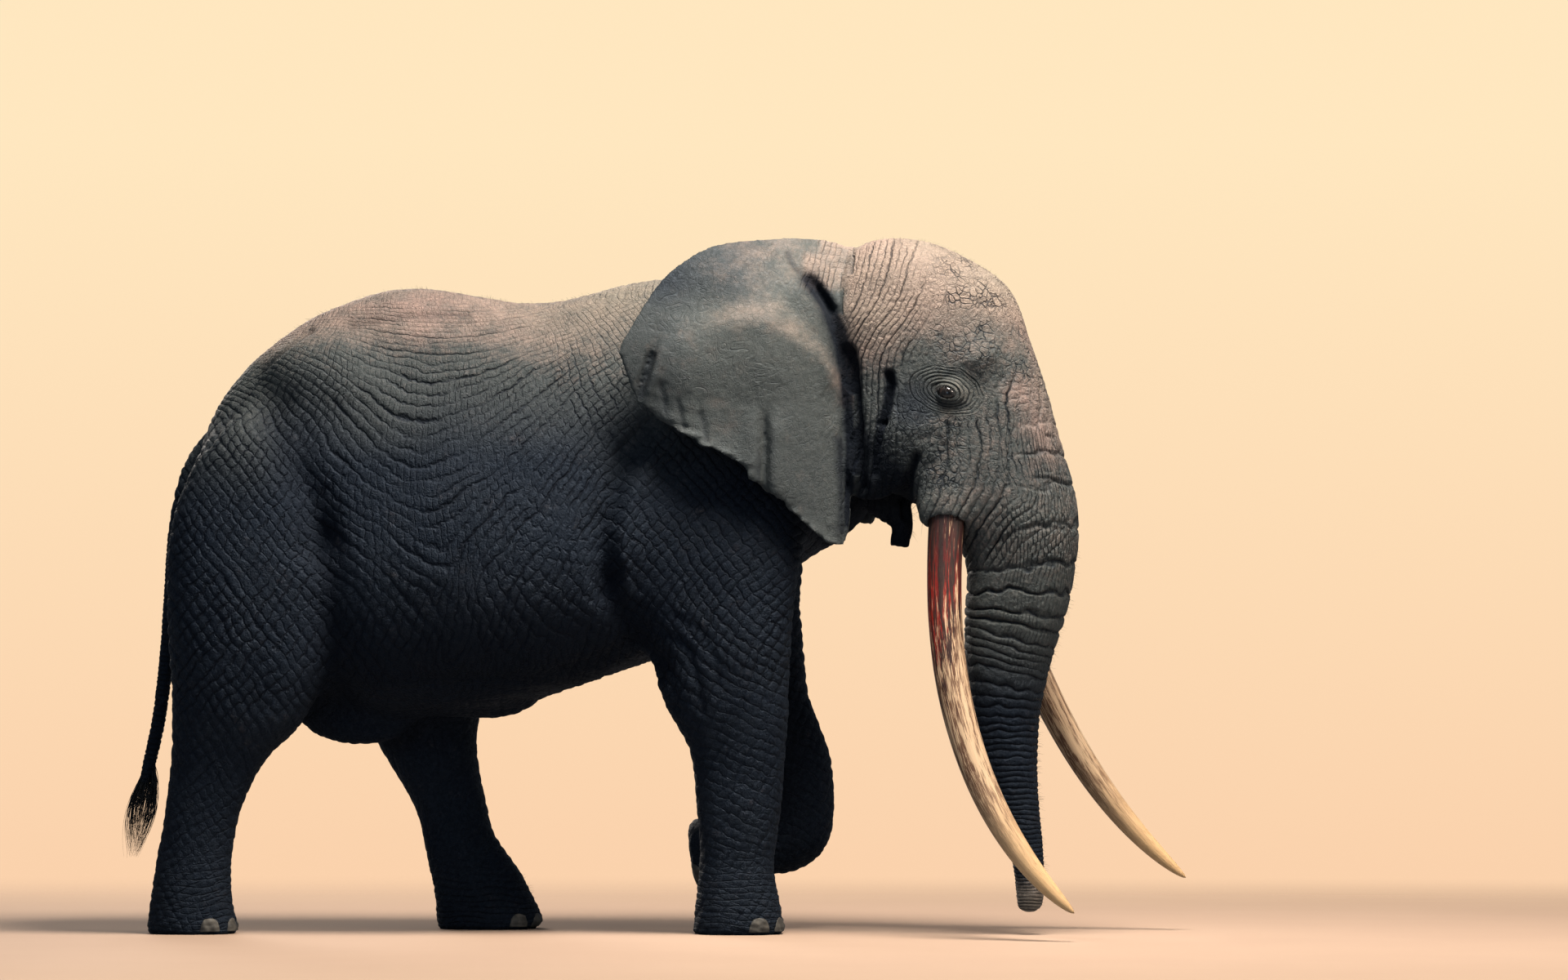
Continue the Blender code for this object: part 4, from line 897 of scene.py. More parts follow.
def open_eyes(points):
    """Draws the lids over each eyeball and opens the slit between them."""
    head = to_head(points - SHIFT)
    side, a, b, oval = eye_place(head)
    out = head[:, 1] * side
    near = oval < 5.0
    u, v = head[:, 0] - EYE_PLACE[0], head[:, 2] - EYE_PLACE[2]
    far = np.hypot(u, v)
    ball = EYE_PLACE[1] + np.sqrt(np.maximum((EYE_RADIUS + 0.0065) ** 2 - far**2, 0))
    mound = EYE_PLACE[1] + 0.050 * np.exp(-((far / 0.070) ** 2)) - 0.004
    lidded = out + np.maximum(np.maximum(ball, mound) - out, 0) * ramp(far, 0.135, 0.065)
    upper = ramp(b + 0.25 * a, -0.012, 0.015)
    pleat = pillows((oval - 1.0) / LID_FOLD_GAP, 0.6) - 0.75
    lidded += 0.0078 * pleat * ramp(oval, 4.2, 1.6) * ramp(oval, 1.0, 1.1) * (0.7 + 0.3 * upper)
    lidded += 0.0035 * bell(oval, 1.08, 0.07) + 0.008 * bell(oval, 1.62, 0.20) * upper
    lidded += 0.005 * bell(oval, 1.35, 0.16) * (1 - upper)
    share = ramp(oval, 1.00, 0.94)
    lidded = lidded * (1 - share) + (EYE_PLACE[1] - 0.012) * share
    head[:, 1] = np.where(near, lidded * side, head[:, 1])
    made = from_head(head) + SHIFT
    return np.where(near[:, None], made, points)


def build_skin(material):
    meshes = [flesh_mesh()]
    grid, row, column = ear_grid()
    meshes.append(ear_shell(grid, row, column, RIGHT))
    meshes.append(ear_shell(place_left_ear(grid), row, column, LEFT))
    for name in (*LIMB_ENDS, "eye_right", "eye_left"):
        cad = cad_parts[name].data.copy()
        meshes.append(applied(cad, WELD, ("SUBSURF", {"levels": 2, "render_levels": 2})))
    mesh = applied(joined("skin", meshes), voxels(SKIN_VOXEL))
    relaxed(mesh, 3)
    head = to_head(vertices_of(mesh) - SHIFT)
    mesh = refined(mesh, (head[:, 0] > 1.72) & (head[:, 2] > 1.7) | (head[:, 0] > 2.1))
    relaxed(mesh, 2)
    mesh = refined(mesh, eye_place(to_head(vertices_of(mesh) - SHIFT))[3] < 4.6)
    relaxed(mesh, 1)
    mesh.name = "skin"

    points, normals = vertices_of(mesh), normals_of(mesh)
    places = Places(points)
    phases, weights, tones, painted_shade_and_marks, nets, relief = skin_fields(places, normals)
    oval = eye_place(places.head)[3]
    relief = relief * ramp(oval, 2.2, 4.2)
    unwrapped(mesh, places, normals)
    moved = open_eyes(points + normals * (relief - COAT_DEPTH)[:, None])
    floor = points[:, 2] < 0.004
    moved[:, 2] = np.where(floor, 0.0, np.maximum(moved[:, 2], 0.0))
    set_vertices(mesh, moved)
    fields = {"phases": phases, "weights": weights, "tones": tones, "painted_shade_and_marks": painted_shade_and_marks, "nets": nets}
    for name, values in fields.items():
        attribute(mesh, name, values)
    made = add_mesh("skin", mesh, material)
    print("skin", len(mesh.vertices), "vertices", len(mesh.polygons), "faces")
    return made


def body_parts(places):
    """A number per vertex: torso, head, trunk, right and left ear, the four legs, tail."""
    x, y, _ = places.drawn.T
    part = np.zeros(len(x), np.int32)
    part[places.on_head > 0.5] = 1
    part[places.on_trunk > 0.5] = 2
    legs = (places.on_leg > 0.5) & (part == 0)
    part[legs] = np.where(x > 0.4, 5 + (y > 0), np.where(x < -1.05, 7, 8))[legs]
    part[places.ear > 0.5] = np.where(y < 0, 3, 4)[places.ear > 0.5]
    part[places.on_tail > 0.5] = 9
    return part


PART_SCALES = np.array((1.0, 1.7, 1.4, 1.1, 0.9, 1.0, 0.9, 1.0, 0.9, 1.2))


def shelf_packed(sizes, gap):
    """Lowest corners of rectangles set in rows inside the unit square, and their scale."""
    order = np.argsort(-sizes[:, 1])
    scale = 1.0
    while True:
        corners, left, bottom, top = np.zeros_like(sizes), gap, gap, gap
        for k in order:
            width, height = sizes[k] * scale
            if left + width + gap > 1:
                left, bottom = gap, top + gap
            corners[k] = left, bottom
            left += width + gap
            top = max(top, bottom + height)
        if top + gap <= 1 and (sizes[:, 0].max() * scale + 2 * gap) <= 1:
            return corners, scale
        scale *= 0.985


def unwrapped(mesh, places, normals):
    """Lays the skin out flat: each body part by the six ways its faces look."""
    start = np.empty(len(mesh.polygons), np.int32)
    total = start.copy()
    mesh.polygons.foreach_get("loop_start", start)
    mesh.polygons.foreach_get("loop_total", total)
    corner = corners_of(mesh)
    part = body_parts(places)
    turned = (part == 1) | (part == 2)
    where = np.where(turned[:, None], places.head, places.drawn)
    looks = np.where(turned[:, None], to_head(normals + HEAD_PIVOT) - HEAD_PIVOT, normals)
    looks = np.add.reduceat(looks[corner], start)
    face_part = part[corner[start]]
    is_ear = (face_part == 3) | (face_part == 4)
    looks[is_ear] *= (0.2, 1.0, 0.2)
    axis = np.argmax(np.abs(looks), 1)
    front = looks[np.arange(len(axis)), axis] > 0
    chart = np.repeat(face_part * 6 + axis * 2 + front, total)
    flat = np.stack((where[corner][:, (1, 0, 0)], where[corner][:, (2, 2, 1)]), -1)
    scales = PART_SCALES[np.repeat(face_part, total)][:, None]
    flat = flat[np.arange(len(corner)), np.repeat(axis, total)] * scales
    used = np.unique(chart)
    lows = np.array([flat[chart == k].min(0) for k in used])
    highs = np.array([flat[chart == k].max(0) for k in used])
    corners, scale = shelf_packed(highs - lows, 0.004)
    slot = np.searchsorted(used, chart)
    spots = (flat - lows[slot]) * scale + corners[slot]
    layer = mesh.uv_layers.new(name="OFBake")
    layer.uv.foreach_set("vector", spots.astype(np.float32).ravel())


# ---------------------------------------------------------------- materials
class Nodes:
    """A short hand for wiring a material's nodes."""

    def __init__(self, name):
        self.material = bpy.data.materials.new(name)
        self.material.use_nodes = True
        self.tree = self.material.node_tree
        self.shader = self.tree.nodes["Principled BSDF"]
        self.coordinates = self.tree.nodes.new("ShaderNodeTexCoord").outputs["Object"]

    def link(self, value, socket):
        if isinstance(value, bpy.types.NodeSocket):
            self.tree.links.new(value, socket)
        elif value is not None:
            plain_colour = isinstance(value, tuple) and len(value) == 3 and socket.type == "RGBA"
            socket.default_value = (*value, 1.0) if plain_colour else value

    def math(self, operation, a, b=None, c=None):
        node = self.tree.nodes.new("ShaderNodeMath")
        node.operation = operation
        for value, socket in zip((a, b, c), node.inputs):
            self.link(value, socket)
        return node.outputs[0]

    def vector(self, operation, a, b=None):
        node = self.tree.nodes.new("ShaderNodeVectorMath")
        node.operation = operation
        self.link(a, node.inputs[0])
        self.link(b, node.inputs[1])
        return node.outputs[0]

    def remap(self, value, low, high, to_low=0.0, to_high=1.0):
        node = self.tree.nodes.new("ShaderNodeMapRange")
        node.interpolation_type = "SMOOTHSTEP"
        for item, socket in zip((value, low, high, to_low, to_high), node.inputs):
            self.link(item, socket)
        return node.outputs[0]

    def noise(self, scale, detail=3.0, roughness=0.55, at=None):
        node = self.tree.nodes.new("ShaderNodeTexNoise")
        self.link(at or self.coordinates, node.inputs["Vector"])
        for name, value in (("Scale", scale), ("Detail", detail), ("Roughness", roughness)):
            node.inputs[name].default_value = value
        return node.outputs["Fac"]

    def voronoi(self, scale, feature="DISTANCE_TO_EDGE", at=None):
        node = self.tree.nodes.new("ShaderNodeTexVoronoi")
        node.feature = feature
        self.link(at or self.coordinates, node.inputs["Vector"])
        node.inputs["Scale"].default_value = scale
        return node.outputs["Distance"]

    def split(self, name):
        node = self.tree.nodes.new("ShaderNodeAttribute")
        node.attribute_name = name
        parts = self.tree.nodes.new("ShaderNodeSeparateXYZ")
        self.tree.links.new(node.outputs["Vector"], parts.inputs[0])
        return list(parts.outputs)

    def mix(self, share, a, b):
        node = self.tree.nodes.new("ShaderNodeMix")
        node.data_type = "RGBA"
        self.link(share, node.inputs[0])
        self.link(a, node.inputs[6])
        self.link(b, node.inputs[7])
        return node.outputs[2]

    def bump(self, height, distance, strength=1.0):
        node = self.tree.nodes.new("ShaderNodeBump")
        node.inputs["Distance"].default_value = distance
        node.inputs["Strength"].default_value = strength
        self.link(height, node.inputs["Height"])
        self.tree.links.new(node.outputs[0], self.shader.inputs["Normal"])

    def set(self, **values):
        for name, value in values.items():
            self.link(value, self.shader.inputs[name.replace("_", " ")])
        return self.material


def skin_material():
    n = Nodes("elephant_skin")
    phases, weights, tones = n.split("phases"), n.split("weights"), n.split("tones")
    painted_shade_and_streak, pink, split = n.split("painted_shade_and_marks")
    wander = n.math("MULTIPLY_ADD", n.noise(26.0, 3.0), 0.8, -0.40)
    first = n.math("ADD", phases[0], wander)
    unnetted, on_ear, _ = n.split("nets")
    broken = n.math("GREATER_THAN", unnetted, 0.5)
    coarse = n.math("MULTIPLY_ADD", on_ear, -0.6, 1.0)
    bricks = n.math("MULTIPLY", n.math("FLOOR", first), n.math("MULTIPLY", broken, BRICK_SHIFT))
    second = n.math("ADD", n.math("ADD", phases[1], bricks), wander)
    third = n.math("MULTIPLY_ADD", wander, 0.5, phases[2])
    grooves = None
    for k, (phase, width) in enumerate(((first, 0.20), (second, 0.17), (third, 0.20))):
        gate = n.remap(n.noise(12.0 + 5 * k, 2.0), 0.32, 0.52, 0.25, 1.0)
        groove = n.remap(n.math("PINGPONG", phase, 0.5), width, 0.0)
        groove = n.math("MULTIPLY", groove, gate)
        if k == 0:
            bold = n.remap(n.math("PINGPONG", n.math("DIVIDE", phase, 3.0), 0.5), 0.075, 0.0)
            bold = n.math("MULTIPLY", bold, n.math("MULTIPLY_ADD", broken, 0.5, 0.5))
            groove = n.math("MAXIMUM", n.math("MULTIPLY", groove, 0.8), bold)
        groove = n.math("MULTIPLY", groove, weights[k])
        grooves = groove if grooves is None else n.math("MAXIMUM", grooves, groove)
    stirred = n.tree.nodes.new("ShaderNodeTexNoise")
    stirred.inputs["Scale"].default_value = 14.0
    stirred.inputs["Detail"].default_value = 2.0
    n.link(n.coordinates, stirred.inputs["Vector"])
    stir = n.vector("MULTIPLY", stirred.outputs["Color"], (0.05, 0.05, 0.05))
    shifted = n.vector("ADD", n.coordinates, stir)
    crack = n.remap(n.voronoi(34.0, at=shifted), 0.085, 0.0)
    crack = n.math("MULTIPLY", crack, n.remap(n.noise(7.0, 2.0), 0.40, 0.6))
    fine = n.remap(n.voronoi(105.0, at=shifted), 0.12, 0.0)
    cracks = n.math("MAXIMUM", n.math("MULTIPLY", crack, 0.45), n.math("MULTIPLY", fine, 0.28))
    cracks = n.math("MULTIPLY", cracks, tones[2])
    nets = n.remap(n.voronoi(26.0, at=shifted), 0.12, 0.01)
    nets = n.math("MULTIPLY", nets, split)
    nets = n.math("MULTIPLY", nets, n.remap(n.noise(9.0, 2.0), 0.30, 0.50, 0.55, 1.0))
    lines = n.math("MAXIMUM", n.math("MAXIMUM", grooves, cracks), nets)
    grain = n.noise(150.0, 3.0, 0.7)
    pebbles = n.voronoi(70.0, "F1", at=shifted)
    pits = n.noise(48.0, 4.0, 0.72)
    rough_height = n.math("ADD", n.math("MULTIPLY", grain, 0.22), n.math("MULTIPLY", pits, 0.70))
    rough_height = n.math("SUBTRACT", rough_height, n.math("MULTIPLY", pebbles, 0.30))
    rough_height = n.math("MULTIPLY", rough_height, coarse)
    n.bump(n.math("MULTIPLY_ADD", lines, -1.1, rough_height), 0.0085)
    patches = n.noise(1.7, 5.0, 0.6)
    fine_patches = n.noise(11.0, 6.0, 0.7)
    # Painted shade: the painted shade tone turns the grey skin, and its paler patches, blue-black.
    body = n.mix(tones[1], (0.080, 0.088, 0.082), (0.0050, 0.0080, 0.0150))
    body = n.mix(n.remap(patches, 0.35, 0.7, 0.0, 0.10), body, (0.060, 0.068, 0.072))
    pale = n.mix(tones[1], (0.17, 0.165, 0.145), (0.016, 0.024, 0.039))
    body = n.mix(n.math("MULTIPLY", n.remap(pits, 0.42, 0.66, 0.0, 0.40), coarse), body, pale)
    cover = n.math("MULTIPLY_ADD", n.math("SUBTRACT", fine_patches, 0.5), 0.9, tones[0])
    cover = n.math("MULTIPLY_ADD", n.math("SUBTRACT", patches, 0.5), 0.35, cover)
    pitted = n.math("MULTIPLY", n.math("SUBTRACT", pits, 0.5), coarse)
    cover = n.math("MULTIPLY_ADD", pitted, 0.5, cover)
    # Painted shade: the crease, crack and net lines lose their dust and, below, are darkened to near black.
    cover = n.math("SUBTRACT", cover, n.math("MULTIPLY", lines, 0.25))
    cover = n.remap(cover, 0.05, 1.10)
    colour = n.mix(cover, body, n.mix(pink, (0.33, 0.275, 0.215), (0.42, 0.285, 0.235)))
    colour = n.mix(n.math("MULTIPLY", lines, 0.90), colour, (0.006, 0.007, 0.011))
    # Painted shade in the furrows, hollows and gaps, near black; at the gland also its own streak.
    colour = n.mix(n.math("MULTIPLY", painted_shade_and_streak, 0.94), colour, (0.003, 0.004, 0.008))
    rough = n.math("MAXIMUM", n.remap(pits, 0.3, 0.7, 0.74, 0.52), painted_shade_and_streak)
    return n.set(
        Base_Color=colour, Roughness=rough, Specular_IOR_Level=0.24, Specular_Tint=(0.62, 0.78, 1.0, 1.0)
    )


def ivory_material():
    n = Nodes("tusk_ivory")
    length, _, stain = n.split("ivory")
    place = n.tree.nodes.new("ShaderNodeAttribute")
    place.attribute_name = "grain"
    at = place.outputs["Vector"]
    streaks = n.noise(9.0, 6.0, 0.65, at=at)
    fine = n.noise(30.0, 5.0, 0.65, at=at)
    broad = n.noise(3.2, 4.0, 0.55, at=at)
    clean = n.mix(n.remap(length, 0.60, 0.97), (0.72, 0.50, 0.31), (0.80, 0.50, 0.240))
    clean = n.mix(n.remap(streaks, 0.45, 0.70, 0.0, 0.4), clean, (0.48, 0.285, 0.155))
    worn = n.remap(length, 0.90, 0.62)
    patchy = n.math("MULTIPLY_ADD", broad, 0.8, n.math("MULTIPLY", streaks, 0.35))
    speckle = n.math("MULTIPLY", n.remap(patchy, 0.51, 0.58), n.remap(fine, 0.42, 0.49))
    speckle = n.math("MULTIPLY", speckle, worn)
    colour = n.mix(n.math("MULTIPLY", speckle, 0.90), clean, (0.120, 0.042, 0.020))
    cracks = n.remap(fine, 0.58, 0.68)
    colour = n.mix(n.math("MULTIPLY", n.math("MULTIPLY", cracks, worn), 0.75), colour, (0.075, 0.033, 0.022))
    # Painted shadow: towards the root at the lip the red stain turns near black.
    shadow = n.remap(length, 0.28, 0.10)
    reach = n.math("MULTIPLY_ADD", streaks, 1.7, n.math("MULTIPLY_ADD", fine, 0.9, stain))
    red = n.remap(reach, 1.90, 2.10)
    red_stain_and_painted_shadow = n.mix(n.remap(streaks, 0.46, 0.53), (0.30, 0.010, 0.006), (0.030, 0.008, 0.008))
    red_stain_and_painted_shadow = n.mix(n.remap(fine, 0.62, 0.70, 0.0, 0.35), red_stain_and_painted_shadow, (0.30, 0.090, 0.040))
    red_stain_and_painted_shadow = n.mix(n.math("MULTIPLY", shadow, 0.90), red_stain_and_painted_shadow, (0.018, 0.008, 0.009))
    colour = n.mix(n.math("MULTIPLY", red, 0.96), colour, red_stain_and_painted_shadow)
    n.bump(n.math("SUBTRACT", n.math("MULTIPLY", streaks, 0.6), n.math("MULTIPLY", cracks, 0.5)), 0.0035)
    return n.set(Base_Color=colour, Roughness=n.remap(streaks, 0.3, 0.7, 0.40, 0.62), Specular_IOR_Level=0.35)


def eye_material():
    n = Nodes("eye_surface")
    angle = n.split("iris")[0]
    rays = n.noise(30.0, 3.0, 0.6)
    iris = n.mix(n.remap(rays, 0.35, 0.65), (0.005, 0.004, 0.004), (0.016, 0.010, 0.008))
    colour = n.mix(n.remap(angle, 0.20, 0.25), (0.002, 0.002, 0.002), iris)
    colour = n.mix(n.remap(angle, 0.50, 0.60), colour, (0.010, 0.007, 0.006))
    colour = n.mix(n.remap(angle, 0.80, 1.0), colour, (0.030, 0.018, 0.016))
    n.bump(n.noise(60.0), 0.0004, 0.3)
    return n.set(Base_Color=colour, Roughness=0.12, Coat_Weight=1.0, Coat_Roughness=0.03)


def horn_material():
    n = Nodes("toenail")
    streaks = n.noise(30.0, 4.0)
    colour = n.mix(n.remap(streaks, 0.35, 0.65), (0.055, 0.048, 0.040), (0.105, 0.092, 0.074))
    n.bump(streaks, 0.002)
    return n.set(Base_Color=colour, Roughness=0.6)


def hair_material():
    n = Nodes("wiry_hair")
    colour = n.mix(n.remap(n.noise(14.0), 0.35, 0.65), (0.003, 0.003, 0.004), (0.014, 0.013, 0.013))
    return n.set(Base_Color=colour, Roughness=0.50)


# ---------------------------------------------------------------- tusks
TUSK_ROOT = np.array((0.285, 2.22))
# side, root x, pitch, sweep, curl and splay in degrees, length, radius, red stain
TUSKS = {
    "tusk_right": (RIGHT, 2.254, -4.4, 27.1, 28.2, 11.0, 2.33, 0.089, 1.0),
    "tusk_left": (LEFT, 2.200, 14.6, 0.0, 36.4, 12.0, 2.28, 0.084, 0.25),
}
TUSK_ROWS, TUSK_SIDES = 300, 72


def tusk(name, material):
    side, root_x, pitch, sweep, curl, splay, length, radius, stain = TUSKS[name]
    share = np.linspace(0, 1, TUSK_ROWS + 1)
    middle = (share[1:] + share[:-1]) / 2
    angle = np.radians(pitch + sweep * middle + curl * middle**2)
    steps = np.stack((np.sin(angle), 0 * angle, -np.cos(angle)), 1) * length / TUSK_ROWS
    centre = np.concatenate((np.zeros((1, 3)), np.cumsum(steps, 0)))
    lean = math.radians(splay * side)
    way = np.gradient(centre, axis=0)
    way /= np.linalg.norm(way, axis=1)[:, None]
    across = np.array((0.0, 1.0, 0.0))
    other = np.cross(way, across)
    thick = radius * (1 - 0.16 * share) * np.maximum(1 - share**5, 0) ** 0.55 - 0.0012
    thick = np.maximum(thick, 0.0)
    turn = np.linspace(0, 2 * np.pi, TUSK_SIDES, endpoint=False)
    ring_s, ring_t = np.meshgrid(share, turn, indexing="ij")
    grain = np.stack((np.cos(ring_t), np.sin(ring_t), ring_s * length * 1.1), -1).reshape(-1, 3)
    rough = fractal(grain * (1, 1, 0.5), 0.22, 3, 2).reshape(ring_s.shape) * ramp(ring_s, 0.85, 0.45)
    ripple = 1 + 0.020 * rough + 0.010 * np.sin(ring_t * 7 + 2 * rough) * ramp(ring_s, 0.8, 0.3)
    r = thick[:, None] * (ripple - 0.012)
    points = centre[:, None] + (np.cos(ring_t) * r)[..., None] * across
    points = points + (np.sin(ring_t) * r)[..., None] * other[:, None]
    c, s = math.cos(lean), math.sin(lean)
    px, py, pz = points[..., 0], points[..., 1], points[..., 2]
    points = np.stack((px, c * py - s * pz, s * py + c * pz), -1)
    points = points + (root_x, TUSK_ROOT[0] * side, TUSK_ROOT[1])
    flat = from_head(points.reshape(-1, 3)) + SHIFT
    rows, columns = ring_s.shape
    index = np.arange(rows * columns).reshape(rows, columns)
    after = np.roll(index, -1, 1)
    faces = np.stack((index[:-1], after[:-1], after[1:], index[1:]), -1).reshape(-1, 4)
    mesh = mesh_from(name, flat, faces)
    bare = 0.34 * ramp(np.sin(ring_t), -0.1, 0.9) * ramp(ring_s, 0.21, 0.34)
    stained = stain * ramp(ring_s, 0.82, 0.18) - bare
    stained = stained + 0.12 * fractal(grain, 0.30, 2, 6).reshape(ring_s.shape)
    ivory = np.stack((ring_s, ring_t / (2 * np.pi), stained), -1).reshape(-1, 3)
    attribute(mesh, "ivory", ivory)
    attribute(mesh, "grain", grain * (0.6, 0.6, 0.42))

    def close_ends(bm):
        bmesh.ops.contextual_create(bm, geom=[bm.verts[i] for i in index[0]])
        bmesh.ops.remove_doubles(bm, verts=[bm.verts[i] for i in index[-2:].ravel()], dist=0.002)

    mended(mesh, close_ends)
    made = add_mesh(name + "_shaped", mesh, material)
    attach(made, "root")
    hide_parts(name)


# ---------------------------------------------------------------- eyes
def eye(name, side, material):
    """An eyeball with a clear bulge in front, looking out and a little forwards and down."""
    bm = bmesh.new()
    bmesh.ops.create_uvsphere(bm, u_segments=64, v_segments=48, radius=1.0)
    aim = Vector((0.30, side * 0.94, -0.10)).normalized()
    turn = Vector((0, 0, 1)).rotation_difference(aim).to_matrix()
    points = np.array([v.co for v in bm.verts])
    angle = np.arccos(np.clip(points[:, 2], -1, 1))
    around = np.arctan2(points[:, 1], points[:, 0])
    swell = 1 + 0.055 * bell(angle, 0, 0.42)
    mesh = bpy.data.meshes.new(name)
    bm.to_mesh(mesh)
    bm.free()
    place = np.array((EYE_PLACE[0], EYE_PLACE[1] * side, EYE_PLACE[2]))
    head = place + (points * swell[:, None] * EYE_RADIUS * 0.96) @ np.array(turn).T
    set_vertices(mesh, from_head(head) + SHIFT)
    attribute(mesh, "iris", np.stack((angle, around, around * 0), 1))
    made = add_mesh(name + "_ball", mesh, material)
    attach(made, "root")
    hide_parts(name)


# ---------------------------------------------------------------- hair
def strands(name, tree, roots, ends, bows, widths, material, sides=5, rows=8):
    """Tapering solid hairs, each from its root to its end, bowed out on the way."""
    count = len(roots)
    t = np.linspace(0, 1, rows)
    path = roots[:, None] + (ends - roots)[:, None] * t[None, :, None]
    path += bows[:, None] * (4 * t * (1 - t))[None, :, None]
    tangent = np.gradient(path, axis=1)
    tangent /= np.linalg.norm(tangent, axis=2)[..., None]
    helper = np.where(np.abs(tangent[..., 1:2]) < 0.9, (0, 1, 0), (1, 0, 0))
    one = np.cross(tangent, helper)
    one /= np.linalg.norm(one, axis=2)[..., None]
    two = np.cross(tangent, one)
    turn = np.linspace(0, 2 * np.pi, sides, endpoint=False)
    radius = widths[:, None] / 2 * (1 - 0.85 * t)
    points = path[:, :, None] + radius[..., None, None] * (
        np.cos(turn)[:, None] * one[:, :, None] + np.sin(turn)[:, None] * two[:, :, None]
    )
    index = np.arange(count * rows * sides).reshape(count, rows, sides)
    after = np.roll(index, -1, 2)
    walls = np.stack((index[:, :-1], after[:, :-1], after[:, 1:], index[:, 1:]), -1).reshape(-1, 4).tolist()
    caps = index[:, 0, ::-1].tolist() + index[:, -1].tolist()
    mesh = bpy.data.meshes.new(name)
    mesh.from_pydata((points.reshape(-1, 3) + SHIFT).tolist(), [], walls + caps)
    mesh.update()
    charts = root_charts(tree, roots)
    local = (points - path[:, :, None]) / 0.0035 * 0.0012
    spots = charts[:, None, None] + local[..., :2] + (0.0004 * t)[None, :, None, None]
    corners = corners_of(mesh)
    layer = mesh.uv_layers.new(name="OFBake")
    layer.uv.foreach_set("vector", spots.reshape(-1, 2)[corners].astype(np.float32).ravel())
    made = add_mesh(name, mesh, material)
    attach(made, "root")
    return made


def root_charts(tree, roots):
    """Where the skin nearest to each hair's root lies on the skin's own flat layout."""
    layer = skin.data.uv_layers["OFBake"].uv
    spots = []
    for root in roots + SHIFT:
        face = tree.find_nearest(Vector(root))[2]
        spots.append(layer[skin.data.polygons[face].loop_start].vector[:])
    return np.array(spots)


def tail_tuft(tree, material):
    """Stiff black hairs in two streams from the end of the tail, meeting at their ends."""
    count = 240
    share = RANDOM.random(count)
    row = np.sin(RANDOM.uniform(-np.pi / 2, np.pi / 2, count))
    z = 0.83 - 0.12 * share
    x = np.interp(z, (0.73, 0.81, 1.06), (-1.885, -1.870, -1.820)) + row * 0.020
    roots = np.stack((x, RANDOM.normal(0, 0.010, count), z), 1)
    reach = RANDOM.random(count) ** 0.55
    ends = np.stack((
        -1.885 - 0.070 * reach + 0.016 * row + RANDOM.normal(0, 0.010, count),
        RANDOM.normal(0, 0.022, count), 0.68 - 0.32 * reach,
    ), 1)
    bow = 0.055 * row * RANDOM.uniform(0.7, 1.15, count) * (0.4 + 0.6 * reach)
    bows = np.stack((bow, RANDOM.normal(0, 0.014, count), 0.02 * reach), 1)
    widths = RANDOM.uniform(0.0028, 0.0044, count)
    made = strands("tail_hair", tree, roots, ends, bows, widths, material, rows=12)
    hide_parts("tail_tuft")


def surface_tree(skin):
    """The skin's faces for ray casts in the row frame."""
    mesh = skin.data
    faces = [tuple(face.vertices) for face in mesh.polygons]
    return BVHTree.FromPolygons([tuple(p) for p in vertices_of(mesh)], faces)


def landing(tree, start, way):
    """Where a ray from a drawing-frame start meets the skin, and the normal there."""
    place, normal, _, _ = tree.ray_cast(Vector(np.asarray(start) + SHIFT), Vector(way))
    if place is None:
        return None, None
    return np.array(place) - SHIFT, np.array(normal)


